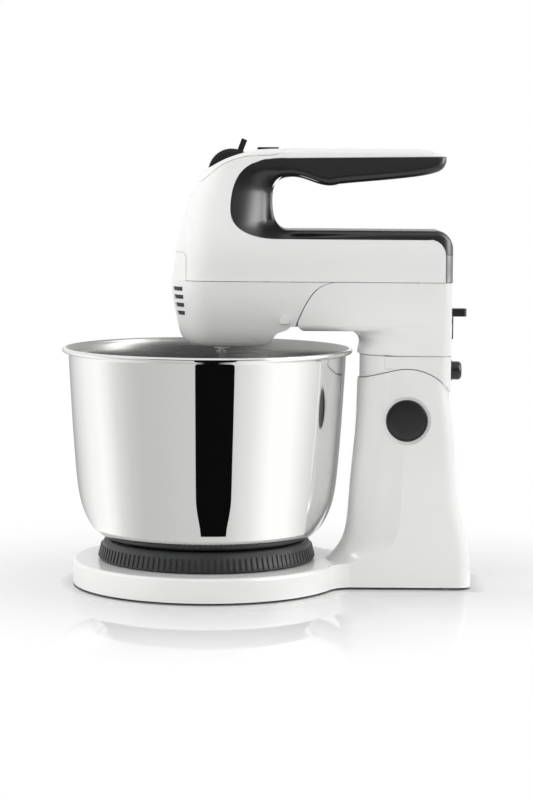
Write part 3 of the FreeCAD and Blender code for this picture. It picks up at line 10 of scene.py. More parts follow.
import bpy
from mathutils import Euler, Matrix, Vector
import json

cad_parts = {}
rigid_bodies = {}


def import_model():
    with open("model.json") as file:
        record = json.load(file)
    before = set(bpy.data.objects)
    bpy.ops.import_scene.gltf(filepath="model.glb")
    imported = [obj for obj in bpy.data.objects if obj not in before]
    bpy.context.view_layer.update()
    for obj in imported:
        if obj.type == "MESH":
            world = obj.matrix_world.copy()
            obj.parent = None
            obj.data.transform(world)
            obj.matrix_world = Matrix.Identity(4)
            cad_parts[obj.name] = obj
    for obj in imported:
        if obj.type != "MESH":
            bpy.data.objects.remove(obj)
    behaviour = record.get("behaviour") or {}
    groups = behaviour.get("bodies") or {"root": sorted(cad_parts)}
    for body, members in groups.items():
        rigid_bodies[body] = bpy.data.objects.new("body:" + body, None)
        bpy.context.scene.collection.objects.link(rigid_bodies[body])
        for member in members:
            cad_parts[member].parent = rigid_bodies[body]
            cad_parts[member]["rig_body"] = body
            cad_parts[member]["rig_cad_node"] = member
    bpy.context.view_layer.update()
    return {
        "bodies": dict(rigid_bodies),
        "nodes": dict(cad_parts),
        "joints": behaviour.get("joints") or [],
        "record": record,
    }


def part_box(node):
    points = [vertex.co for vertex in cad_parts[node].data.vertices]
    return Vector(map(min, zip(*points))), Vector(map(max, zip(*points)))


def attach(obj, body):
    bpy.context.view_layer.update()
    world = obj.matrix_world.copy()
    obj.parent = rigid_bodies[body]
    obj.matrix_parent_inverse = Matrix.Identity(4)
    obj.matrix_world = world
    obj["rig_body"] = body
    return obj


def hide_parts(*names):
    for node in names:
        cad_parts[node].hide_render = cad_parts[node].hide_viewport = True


LOG = logging.getLogger("stand_mixer")
MM = 0.001
TAU = math.tau

Stations = list[tuple[float, float]]
Test = Callable[[Vector], bool]


def linear(code: str) -> tuple[float, float, float, float]:
    """Turn an sRGB hex colour into the linear colour that a shader works with.

    Args:
        code: The colour, such as "#F2F2F0".

    Returns:
        Linear red, green and blue, and an alpha of 1.
    """
    values = [int(code[i:i + 2], 16) / 255 for i in (1, 3, 5)]
    straight = [v / 12.92 if v <= 0.04045 else ((v + 0.055) / 1.055) ** 2.4 for v in values]
    return (straight[0], straight[1], straight[2], 1.0)


def add_node(tree: bpy.types.NodeTree, kind: str, settings: dict | None = None,
             inputs: dict | None = None) -> bpy.types.Node:
    """Add one node, set it up and link what feeds it.

    Args:
        tree: The node tree that it goes into.
        kind: The node's type, such as "ShaderNodeTexNoise".
        settings: Properties of the node.
        inputs: Socket names or numbers, each with a value or with the output socket that feeds it.

    Returns:
        The new node.
    """
    node = tree.nodes.new(kind)
    for name, value in (settings or {}).items():
        setattr(node, name, value)
    for name, value in (inputs or {}).items():
        if isinstance(value, bpy.types.NodeSocket):
            tree.links.new(value, node.inputs[name])
        else:
            node.inputs[name].default_value = value
    return node


# ---------------------------------------------------------------- finishes


class Pattern(Enum):
    """What breaks up a finish at the size that the eye sees."""

    MOTTLE = "soft cloudy mottling of a moulding"
    TURNED = "fine rings left round the axis by spinning or turning"
    STACKED = "thin sheets stacked along X"
    WOUND = "round wire wound side by side along X"


@dataclass(frozen=True)
class Finish:
    """A real material with the marks of how its surface was made.

    Sizes are in millimetres. The pattern mixes colour into shade and swings the roughness, the grain is a
    much finer bump, and edge is the small radius that every moulded or cut edge really has.
    """

    name: str
    colour: str
    shade: str
    roughness: float
    swing: float = 0.03
    metallic: float = 0.0
    ior: float = 1.5
    pattern: Pattern = Pattern.MOTTLE
    pattern_mm: float = 30.0
    grain_mm: float = 0.6
    grain_depth_mm: float = 0.004
    edge_mm: float = 0.0
    coat: float = 0.0
    coat_roughness: float = 0.05
    axis: tuple[float, float] = (0.0, 0.0)

    def build(self) -> bpy.types.Material:
        """Make the node material.

        Returns:
            The material, named for the finish.
        """
        material = bpy.data.materials.new(self.name)
        material.use_nodes = True
        tree = material.node_tree
        shader = tree.nodes["Principled BSDF"]
        place = add_node(tree, "ShaderNodeTexCoord").outputs["Object"]
        marks = self.marks(tree, place)
        tint = add_node(tree, "ShaderNodeMix", {"data_type": "RGBA"},
                        {"Factor": marks, 6: linear(self.colour), 7: linear(self.shade)})
        tree.links.new(tint.outputs[2], shader.inputs["Base Color"])
        rough = add_node(tree, "ShaderNodeMapRange", None,
                         {"Value": marks, "To Min": self.roughness - self.swing, "To Max": self.roughness + self.swing})
        tree.links.new(rough.outputs["Result"], shader.inputs["Roughness"])
        tree.links.new(self.relief(tree, place, marks), shader.inputs["Normal"])
        shader.inputs["Metallic"].default_value = self.metallic
        shader.inputs["IOR"].default_value = self.ior
        shader.inputs["Coat Weight"].default_value = self.coat
        shader.inputs["Coat Roughness"].default_value = self.coat_roughness
        return material

    def marks(self, tree: bpy.types.NodeTree, place: bpy.types.NodeSocket) -> bpy.types.NodeSocket:
        """Add the nodes of the coarse pattern.

        Args:
            tree: The material's tree.
            place: Object coordinates, in metres.

        Returns:
            A value from 0 to 1 that follows the pattern.
        """
        scale = 1 / (self.pattern_mm * MM)
        if self.pattern in (Pattern.STACKED, Pattern.WOUND):
            wave = add_node(tree, "ShaderNodeTexWave", {"bands_direction": "X"},
                            {"Vector": place, "Scale": scale / TAU * math.pi, "Distortion": 0.0})
            return wave.outputs["Fac"]
        if self.pattern is Pattern.TURNED:
            place = self.rings(tree, place)
        noise = add_node(tree, "ShaderNodeTexNoise", None, {"Vector": place, "Scale": scale, "Detail": 3.0})
        return noise.outputs["Fac"]

    def rings(self, tree: bpy.types.NodeTree, place: bpy.types.NodeSocket) -> bpy.types.NodeSocket:
        """Add nodes that stretch a pattern into rings round the finish's upright axis.

        Args:
            tree: The material's tree.
            place: Object coordinates.

        Returns:
            A vector of radius, height and a slow change with the angle.
        """
        moved = add_node(tree, "ShaderNodeMapping", None,
                         {"Vector": place, "Location": (-self.axis[0], -self.axis[1], 0.0)})
        parts = add_node(tree, "ShaderNodeSeparateXYZ", None, {0: moved.outputs[0]})
        flat = add_node(tree, "ShaderNodeCombineXYZ", None, {0: parts.outputs[0], 1: parts.outputs[1]})
        radius = add_node(tree, "ShaderNodeVectorMath", {"operation": "LENGTH"}, {0: flat.outputs[0]})
        slow = add_node(tree, "ShaderNodeMath", {"operation": "MULTIPLY"}, {0: parts.outputs[0], 1: 0.01})
        return add_node(tree, "ShaderNodeCombineXYZ", None,
                        {0: radius.outputs["Value"], 1: slow.outputs[0], 2: parts.outputs[2]}).outputs[0]

    def relief(self, tree: bpy.types.NodeTree, place: bpy.types.NodeSocket,
               marks: bpy.types.NodeSocket) -> bpy.types.NodeSocket:
        """Add the edge rounding and the fine bump.

        Args:
            tree: The material's tree.
            place: Object coordinates.
            marks: The coarse pattern, which is the relief of a stacked or wound finish.

        Returns:
            The normal.
        """
        height = marks
        if self.pattern in (Pattern.MOTTLE, Pattern.TURNED):
            where = self.rings(tree, place) if self.pattern is Pattern.TURNED else place
            height = add_node(tree, "ShaderNodeTexNoise", None,
                              {"Vector": where, "Scale": 1 / (self.grain_mm * MM), "Detail": 2.0}).outputs["Fac"]
        bump = add_node(tree, "ShaderNodeBump", None, {"Height": height, "Distance": self.grain_depth_mm * MM})
        if self.edge_mm:
            soft = add_node(tree, "ShaderNodeBevel", {"samples": 4}, {"Radius": self.edge_mm * MM})
            tree.links.new(soft.outputs[0], bump.inputs["Normal"])
        return bump.outputs[0]


@dataclass(frozen=True)
class SpunSteel(Finish):
    """Stainless steel whose brushing runs round the axis, so that reflections smear up and down."""

    anisotropy: float = 0.7

    def build(self) -> bpy.types.Material:
        """Make the node material and turn its smear along the height."""
        material = super().build()
        tree = material.node_tree
        shader = tree.nodes["Principled BSDF"]
        place = add_node(tree, "ShaderNodeTexCoord").outputs["Object"]
        moved = add_node(tree, "ShaderNodeMapping", None,
                         {"Vector": place, "Location": (-self.axis[0], -self.axis[1], 0.0)})
        around = add_node(tree, "ShaderNodeVectorMath", {"operation": "CROSS_PRODUCT"},
                          {0: (0.0, 0.0, 1.0), 1: moved.outputs[0]})
        unit = add_node(tree, "ShaderNodeVectorMath", {"operation": "NORMALIZE"}, {0: around.outputs[0]})
        tree.links.new(unit.outputs[0], shader.inputs["Tangent"])
        shader.inputs["Anisotropic"].default_value = self.anisotropy
        return material


def finishes(axis: tuple[float, float]) -> dict[str, Finish]:
    """List the finishes by the record's slot names, with a few more for pieces that have two.

    Args:
        axis: X and Y of the bowl's axis.

    Returns:
        The finishes by slot.
    """
    return {
        # ABS moulded in a polished mould: a clear, slightly wavy reflection over a cool white
        "white_gloss": Finish("polished_mould_white_abs", "#EFEFEE", "#EBEBEA", 0.17, 0.02, ior=1.53,
                              pattern_mm=60, grain_mm=9, grain_depth_mm=0.010, edge_mm=0.5),
        # ABS from a finely textured mould: the same white with a broad soft sheen
        "white_satin": Finish("fine_texture_white_abs", "#ECECEB", "#E8E8E7", 0.34, 0.02, ior=1.53,
                              pattern_mm=50, grain_mm=0.5, grain_depth_mm=0.003, edge_mm=0.35),
        # thermoplastic rubber moulded over the grip: dark, with a wide silky highlight
        "charcoal_soft": Finish("soft_touch_tpe_overmould", "#121313", "#161717", 0.36, 0.02, ior=1.5,
                                pattern_mm=18, grain_mm=0.35, grain_depth_mm=0.004, edge_mm=0.4,
                                coat=0.25, coat_roughness=0.36),
        # black ABS with a satin mould texture: buttons, wheel and caps
        "charcoal_hard": Finish("satin_black_abs", "#181919", "#1D1E1E", 0.34, 0.03, ior=1.5,
                                pattern_mm=12, grain_mm=0.4, grain_depth_mm=0.005, edge_mm=0.3),
        # talc-filled polypropylene: dull dark grey that shows the ribs' flanks
        "grey_ring": Finish("filled_grey_polypropylene", "#2B2C2C", "#323333", 0.42, 0.04, ior=1.49,
                            pattern_mm=15, grain_mm=0.5, grain_depth_mm=0.008, edge_mm=0.2),
        # ABS sprayed with a silver-grey lacquer: fine metallic flake under a satin top coat
        "grey_strip": Finish("silver_grey_lacquer", "#6C6E70", "#626466", 0.36, 0.05, 0.3, ior=1.5,
                             pattern_mm=0.5, grain_mm=0.3, grain_depth_mm=0.003, edge_mm=0.3),
        "inner_black": Finish("glass_filled_black_nylon", "#18191A", "#222324", 0.55, 0.05, ior=1.53,
                              pattern_mm=8, grain_mm=0.7, grain_depth_mm=0.02),
        "gear_plastic": Finish("natural_acetal", "#E9E6DC", "#DEDACD", 0.38, 0.04, ior=1.48,
                               pattern_mm=10, grain_mm=0.5, grain_depth_mm=0.006),
        # ground bar: tight turning rings that catch the light as short glints
        "steel": Finish("ground_steel_bar", "#B9BABB", "#A6A7A8", 0.26, 0.05, 1.0,
                        pattern_mm=2.5, grain_mm=0.4, grain_depth_mm=0.006),
        # chromium plate over formed wire: nearly a mirror, a little blue
        "chrome": Finish("bright_chromium_plate", "#D5D7DA", "#CDCFD2", 0.15, 0.02, 1.0,
                         pattern_mm=20, grain_mm=2, grain_depth_mm=0.004, edge_mm=0.2),
        # stainless sheet buffed to a mirror: clear reflections with the faintest haze
        "bowl_steel": Finish("mirror_buffed_stainless", "#E6E6E5", "#E4E4E3", 0.04, 0.004, 1.0,
                             pattern=Pattern.TURNED, pattern_mm=5, grain_mm=30, grain_depth_mm=0.0004, axis=axis),
        # the same sheet left as spun inside: fine rings that smear what it reflects
        "bowl_inside": SpunSteel("ring_brushed_stainless", "#A3A3A2", "#939392", 0.28, 0.05, 1.0,
                                 pattern=Pattern.TURNED, pattern_mm=0.9, grain_mm=0.7, grain_depth_mm=0.004, axis=axis),
        "rubber": Finish("black_nitrile_rubber", "#1B1B1B", "#232323", 0.7, 0.05, ior=1.52,
                         pattern_mm=4, grain_mm=0.8, grain_depth_mm=0.03),
        "zinc_screw": Finish("clear_zinc_plate", "#C3C6CA", "#A9ADB3", 0.30, 0.06, 1.0,
                             pattern_mm=1.5, grain_mm=0.5, grain_depth_mm=0.008, edge_mm=0.1),
        "laminations": Finish("stacked_silicon_steel", "#6F7377", "#3B3E41", 0.42, 0.08, 1.0,
                              pattern=Pattern.STACKED, pattern_mm=1.0, grain_depth_mm=0.05),
        "copper": Finish("enamelled_copper_wire", "#B5683A", "#6E3718", 0.28, 0.05, 0.9,
                         pattern=Pattern.WOUND, pattern_mm=1.1, grain_depth_mm=0.2, coat=0.4),
        "carbon": Finish("pressed_carbon", "#2A2A2B", "#333335", 0.6, 0.05, pattern_mm=1.2, grain_mm=0.3,
                         grain_depth_mm=0.02),
        "board": Finish("green_solder_mask", "#1F5A38", "#2B6A45", 0.35, 0.05, pattern_mm=3, grain_mm=0.8,
                        grain_depth_mm=0.01, coat=0.3),
        "bronze": Finish("sintered_bronze", "#9A7548", "#83623A", 0.42, 0.06, 1.0, pattern_mm=0.8, grain_mm=0.3,
                         grain_depth_mm=0.02),
    }


# ---------------------------------------------------------------- the bench: hand operations


class Bench:
    """The few operations that each new piece is modelled with."""

    @staticmethod
    def clear() -> None:
        """Leave edit mode and let go of everything that is selected."""
        if bpy.context.object and bpy.context.object.mode != "OBJECT":
            bpy.ops.object.mode_set(mode="OBJECT")
        bpy.ops.object.select_all(action="DESELECT")

    @staticmethod
    def named(name: str) -> bpy.types.Object:
        """Name the primitive that was just added, and return it."""
        piece = bpy.context.object
        piece.name = name
        piece.data.name = name
        return piece

    @staticmethod
    def pick(kind: str, test: Test, normal_test: Test | None = None) -> None:
        """Select the faces or vertices of the active piece that pass a test on their place.

        Args:
            kind: "FACE" or "VERT".
            test: Takes a face's centre or a vertex's place, in metres.
            normal_test: Takes a face's normal, for faces only.
        """
        piece = bpy.context.object
        bpy.ops.object.mode_set(mode="EDIT")
        bpy.ops.mesh.select_mode(type=kind)
        bpy.ops.mesh.select_all(action="DESELECT")
        bpy.ops.object.mode_set(mode="OBJECT")
        shift = piece.matrix_world
        turn = shift.to_3x3()
        if kind == "FACE":
            for face in piece.data.polygons:
                face.select = test(shift @ face.center) and (normal_test is None or normal_test(turn @ face.normal))
        else:
            for vertex in piece.data.vertices:
                vertex.select = test(shift @ vertex.co)
        bpy.ops.object.mode_set(mode="EDIT")

    @staticmethod
    def turned(name: str, axis: Vector, stations: Stations, segments: int) -> bpy.types.Object:
        """Shape a piece of revolution by drawing a ring up through its stations.

        Args:
            name: The piece's name.
            axis: A point on its upright axis.
            stations: Radius and height of each ring, in millimetres. A radius of 0 closes the piece.
            segments: How many sides each ring has.

        Returns:
            The piece, in object mode, with its place applied.
        """
        Bench.clear()
        first = next(station for station in stations if station[0] > 0)
        bpy.ops.mesh.primitive_circle_add(vertices=segments, radius=first[0] * MM,
                                          location=(axis.x, axis.y, first[1] * MM))
        piece = Bench.named(name)
        bpy.ops.object.mode_set(mode="EDIT")
        bpy.ops.mesh.select_mode(type="EDGE")
        bpy.ops.mesh.select_all(action="SELECT")
        radius, height = first
        for wide, high in stations[stations.index(first) + 1:]:
            bpy.ops.mesh.extrude_region_move(TRANSFORM_OT_translate={"value": (0, 0, (high - height) * MM)})
            if wide == 0:
                bpy.ops.mesh.merge(type="CENTER")
                break
            ratio = wide / radius
            bpy.ops.transform.resize(value=(ratio, ratio, 1), center_override=(axis.x, axis.y, high * MM))
            radius, height = wide, high
        if stations[0][0] == 0:
            limit = (first[1] + 0.001) * MM
            Bench.pick("VERT", lambda p: p.z < limit and (p.xy - axis.xy).length < (first[0] + 0.01) * MM)
            bpy.ops.mesh.extrude_region_move(TRANSFORM_OT_translate={"value": (0, 0, (stations[0][1] - first[1]) * MM)})
            bpy.ops.mesh.merge(type="CENTER")
        Bench.close(piece)
        return piece

    @staticmethod
    def close(piece: bpy.types.Object, merge_mm: float = 0.005) -> None:
        """Weld a mesh, turn its faces outwards and apply its place.

        Args:
            piece: The piece.
            merge_mm: How near two vertices are when they become one.
        """
        bpy.ops.object.mode_set(mode="EDIT")
        bpy.ops.mesh.select_all(action="SELECT")
        bpy.ops.mesh.remove_doubles(threshold=merge_mm * MM)
        bpy.ops.mesh.normals_make_consistent(inside=False)
        Bench.clear()
        piece.select_set(True)
        bpy.context.view_layer.objects.active = piece
        bpy.ops.object.transform_apply(location=True, rotation=True, scale=True)

    @staticmethod
    def modify(piece: bpy.types.Object, kind: str, **settings: object) -> None:
        """Add one modifier with its settings and apply it.

        Args:
            piece: The piece.
            kind: The modifier's type.
            **settings: Its properties.
        """
        Bench.clear()
        piece.select_set(True)
        bpy.context.view_layer.objects.active = piece
        modifier = piece.modifiers.new(kind.lower(), kind)
        for name, value in settings.items():
            setattr(modifier, name, value)
        bpy.ops.object.modifier_apply(modifier=modifier.name)

    @staticmethod
    def smooth(piece: bpy.types.Object, angle: float = 35.0) -> None:
        """Shade a piece smooth, and leave edges sharper than an angle crisp.

        Args:
            piece: The piece.
            angle: The angle, in degrees.
        """
        Bench.clear()
        piece.select_set(True)
        bpy.context.view_layer.objects.active = piece
        bpy.ops.object.shade_smooth_by_angle(angle=math.radians(angle))

    @staticmethod
    def joined(name: str, pieces: list[bpy.types.Object]) -> bpy.types.Object:
        """Join pieces of one material into one object.

        Args:
            name: The name of the result.
            pieces: The pieces, in object mode.

        Returns:
            The joined piece.
        """
        Bench.clear()
        for piece in pieces:
            piece.select_set(True)
        bpy.context.view_layer.objects.active = pieces[0]
        bpy.ops.object.join()
        return Bench.named(name)


@dataclass
class Workshop:
    """What every sub-assembly needs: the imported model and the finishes, each made once."""

    frame: dict
    materials: dict[str, bpy.types.Material] = field(default_factory=dict)

    def __post_init__(self) -> None:
        """Find the bowl's axis and make the materials."""
        low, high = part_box("bowl")
        self.axis = Vector(((low.x + high.x) / 2, (low.y + high.y) / 2, 0.0))
        for slot, finish in finishes((self.axis.x, self.axis.y)).items():
            self.materials[slot] = finish.build()

    def spot(self, x: float, y: float, z: float) -> Vector:
        """Turn millimetres from the bowl's axis and the table into a place in the scene."""
        return Vector((self.axis.x + x * MM, self.axis.y + y * MM, z * MM))

    def centre(self, node: str) -> Vector:
        """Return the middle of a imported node's box."""
        low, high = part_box(node)
        return (low + high) / 2

    def body(self, node: str) -> str:
        """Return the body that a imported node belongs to."""
        return self.frame["nodes"][node]["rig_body"]

    def dress(self, piece: bpy.types.Object, *slots: str) -> None:
        """Give a piece its materials, in the order of its material numbers."""
        piece.data.materials.clear()
        for slot in slots:
            piece.data.materials.append(self.materials[slot])

    def fit(self, piece: bpy.types.Object, body: str, slots: tuple[str, ...], replaced: tuple[str, ...] = ()) -> None:
        """Dress a finished piece, let it ride on its body and hide what it stands for.

        Args:
            piece: The piece.
            body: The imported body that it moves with.
            slots: Its finishes; the first is the record's slot.
            replaced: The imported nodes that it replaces.
        """
        self.dress(piece, *slots)
        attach(piece, body)
        if replaced:
            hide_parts(*replaced)
        LOG.info("%s: %d faces on %s", piece.name, len(piece.data.polygons), body)

    @staticmethod
    def copied(source: bpy.types.Object, name: str) -> bpy.types.Object:
        """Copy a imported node, weld the copy and leave it in edit mode.

        Args:
            source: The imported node.
            name: The copy's name.

        Returns:
            The copy.
        """
        Bench.clear()
        piece = source.copy()
        piece.data = source.data.copy()
        piece.parent = None
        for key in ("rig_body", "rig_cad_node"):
            if key in piece:
                del piece[key]
        bpy.context.scene.collection.objects.link(piece)
        piece.name = piece.data.name = name
        piece.select_set(True)
        bpy.context.view_layer.objects.active = piece
        bpy.ops.object.mode_set(mode="EDIT")
        bpy.ops.mesh.select_all(action="SELECT")
        bpy.ops.mesh.remove_doubles(threshold=0.002 * MM)
        return piece

    def dress_nodes(self) -> None:
        """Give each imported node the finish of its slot."""
        slots = {part["node"]: part["material_slot"] for part in self.frame["record"]["subparts"]}
        for name, node in self.frame["nodes"].items():
            self.dress(node, slots[name])
            LOG.info("%s: %s", name, slots[name])


# ---------------------------------------------------------------- bowl and turntable


@dataclass
class Bowl:
    """The spun bowl with its rolled rim, and the ribbed ring that it stands in. Millimetres."""

    shop: Workshop
    wall: float = 1.0
    rim_radius: float = 116.3
    rim_height: float = 188.0
    curl: float = 2.15
    segments: int = 96
    outside: Stations = field(default_factory=lambda: [
        (0, 36.4), (30, 36.4), (60, 36.4), (72, 36.4), (77, 36.6), (81.5, 37.9), (86.0, 40.4), (90.2, 43.9),
        (93.6, 48.3), (96.6, 53.6), (99.4, 60.0), (101.6, 67.0), (103.2, 75.0), (104.5, 85.0), (105.7, 98.0),
        (107.0, 115.0), (108.1, 131.0), (109.1, 148.0), (110.0, 163.0), (110.7, 175.0), (111.0, 182.0)])
    ribs: int = 112
    rib_proud: float = 0.95
    rib_low: float = 22.2
    rib_high: float = 31.4

    def build(self) -> None:
        """Make the bowl and the ring."""
        self.make_bowl()
        self.make_ring()

    def make_bowl(self) -> None:
        """Turn the bowl as one skin: up the outside, round the rolled rim and down the inside."""
        bead = (self.rim_radius - self.curl, self.rim_height)
        curl = [(bead[0] + self.curl * math.cos(math.radians(a)), bead[1] + self.curl * math.sin(math.radians(a)))
                for a in range(-150, 181, 30)]
        inside = [(max(r - self.wall, 0), z + (self.wall if r < 88 else self.wall * (97 - r) / 9 if r < 97 else 0))
                  for r, z in reversed(self.outside)]
        stations = self.outside + [(111.2, 185.6)] + curl[1:] + [(110.9, 186.6)] + inside
        piece = Bench.turned("bowl_shell", self.shop.axis, stations, self.segments)
        Bench.modify(piece, "SUBSURF", levels=2, render_levels=2)
        Bench.smooth(piece, 60)
        axis = self.shop.axis.xy
        self.shop.dress(piece, "bowl_steel", "bowl_inside")
        for face in piece.data.polygons:
            away = (face.center.xy - axis)
            inward = away.length > 1e-6 and face.normal.xy.dot(away.normalized()) < -0.3
            floor = face.normal.z > 0.5 and face.center.z < 0.06
            face.material_index = 1 if inward or floor else 0
        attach(piece, "turntable")
        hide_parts("bowl")
        LOG.info("%s: %d faces on turntable", piece.name, len(piece.data.polygons))

    def make_ring(self) -> None:
        """Turn the ring, then raise a rib on every other pair of its side faces."""
        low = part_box("turntable_ring")[0].z / MM
        stations = [(75.8, low + 8.2), (80.8, low + 8.2), (80.8, low + 0.0), (86.4, low), (86.7, low + 0.4),
                    (86.6, self.rib_low), (85.9, 25.0), (85.0, 28.2), (84.3, self.rib_high), (83.6, 33.2),
                    (82.4, 34.9), (80.7, 35.9), (78.6, 36.2), (76.6, 35.9), (75.7, 34.9), (75.5, 33.4), (75.5, 31.0),
                    (75.8, low + 8.2)]
        segments = self.ribs * 4
        piece = Bench.turned("ribbed_ring", self.shop.axis, stations, segments)
        axis = self.shop.axis.xy
        low_m, high_m = self.rib_low * MM, self.rib_high * MM

        def on_rib(place: Vector) -> bool:
            """Tell whether a face's centre lies on a rib."""
            away = place.xy - axis
            step = math.floor(math.atan2(away.y, away.x) / TAU * segments) % 4
            return low_m < place.z < high_m and away.length > 0.083 and step in (0, 1)

        Bench.pick("FACE", on_rib)
        bpy.ops.mesh.extrude_region_shrink_fatten(TRANSFORM_OT_shrink_fatten={"value": self.rib_proud * MM})
        Bench.close(piece)
        Bench.modify(piece, "BEVEL", width=0.16 * MM, segments=2, limit_method="ANGLE", angle_limit=math.radians(50))
        Bench.smooth(piece, 40)
        self.shop.fit(piece, "turntable", ("grey_ring",), ("turntable_ring",))


# ---------------------------------------------------------------- controls


@dataclass
class Controls:
    """The thumb wheel with its lever. Millimetres."""

    shop: Workshop
    wheel_radius: float = 18.5
    wheel_half: float = 6.9
    ridges: int = 54
    ridge_proud: float = 0.45
    lever_reach: float = 28.0
    lever_angle: float = 69.0
    lever_half: float = 2.25

    def build(self) -> None:
        """Make the wheel and fit it."""
        centre = self.shop.centre("wheel_axle")
        disc = self.make_disc(centre)
        lever = self.make_lever(centre)
        piece = Bench.joined("thumb_wheel", [disc, lever])
        self.shop.fit(piece, "speed_wheel", ("charcoal_hard",), ("speed_wheel",))

    def make_disc(self, centre: Vector) -> bpy.types.Object:
        """Shape the wheel: a dished disc with fine ridges across its rim.

        Args:
            centre: The middle of its axle.

        Returns:
            The disc.
        """
        Bench.clear()
        bpy.ops.mesh.primitive_cylinder_add(vertices=self.ridges * 3, radius=self.wheel_radius * MM,
                                            depth=2 * self.wheel_half * MM, location=centre,
                                            rotation=(math.pi / 2, 0, 0), end_fill_type="NGON")
        piece = Bench.named("wheel_disc")
        Bench.pick("FACE", lambda p: True, lambda n: abs(n.y) > 0.9)
        bpy.ops.mesh.inset(thickness=1.3 * MM, use_individual=True)
        bpy.ops.mesh.inset(thickness=0.9 * MM, depth=-0.7 * MM, use_individual=True)
        bpy.ops.mesh.inset(thickness=9.0 * MM, depth=0.0, use_individual=True)

        def on_ridge(place: Vector) -> bool:
            """Tell whether a face's centre lies on a ridge of the rim."""
            away = place - centre
            reach = math.hypot(away.x, away.z)
            step = math.floor(math.atan2(away.z, away.x) / TAU * self.ridges * 3 + 0.001) % 3
            return reach > (self.wheel_radius - 0.3) * MM and step == 0

        Bench.pick("FACE", on_ridge, lambda n: abs(n.y) < 0.1)
        bpy.ops.mesh.extrude_region_shrink_fatten(TRANSFORM_OT_shrink_fatten={"value": self.ridge_proud * MM})
        Bench.close(piece)
        Bench.modify(piece, "BEVEL", width=0.14 * MM, segments=2, limit_method="ANGLE", angle_limit=math.radians(35))
        Bench.smooth(piece, 35)
        return piece

    def make_lever(self, centre: Vector) -> bpy.types.Object:
        """Shape the lever upright, with finger grooves on its rear face, and turn it to its rest angle.

        Args:
            centre: The middle of the wheel's axle.

        Returns:
            The lever.
        """
        Bench.clear()
        low = self.wheel_radius - 5
        high = self.lever_reach
        bpy.ops.mesh.primitive_cube_add(size=1, location=centre + Vector((0, 0, (low + high) / 2 * MM)),
                                        scale=(2 * self.lever_half * MM, 12.6 * MM, (high - low) * MM))
        piece = Bench.named("lever")
        bpy.ops.object.transform_apply(location=True, rotation=False, scale=True)
        rear = centre.x + self.lever_half * MM
        for step in range(5):
            height = centre.z + (high - 1.6 - 1.1 * step) * MM
            for edge in (height, height - 0.45 * MM):
                bpy.ops.object.mode_set(mode="EDIT")
                bpy.ops.mesh.select_all(action="SELECT")
                bpy.ops.mesh.bisect(plane_co=(0, 0, edge), plane_no=(0, 0, 1))
            Bench.pick("FACE", lambda p: abs(p.x - rear) < 0.05 * MM and abs(p.z - height + 0.225 * MM) < 0.1 * MM)
            bpy.ops.mesh.inset(thickness=0.6 * MM)
            bpy.ops.transform.translate(value=(-0.4 * MM, 0, 0))
        Bench.close(piece)
        Bench.modify(piece, "BEVEL", width=0.8 * MM, segments=4, limit_method="ANGLE", angle_limit=math.radians(60))
        Bench.clear()
        piece.select_set(True)
        bpy.context.view_layer.objects.active = piece
        bpy.ops.object.mode_set(mode="EDIT")
        bpy.ops.mesh.select_all(action="SELECT")
        bpy.ops.transform.rotate(value=-math.radians(90 - self.lever_angle), orient_axis="Y", center_override=centre)
        Bench.close(piece)
        Bench.smooth(piece, 40)
        return piece


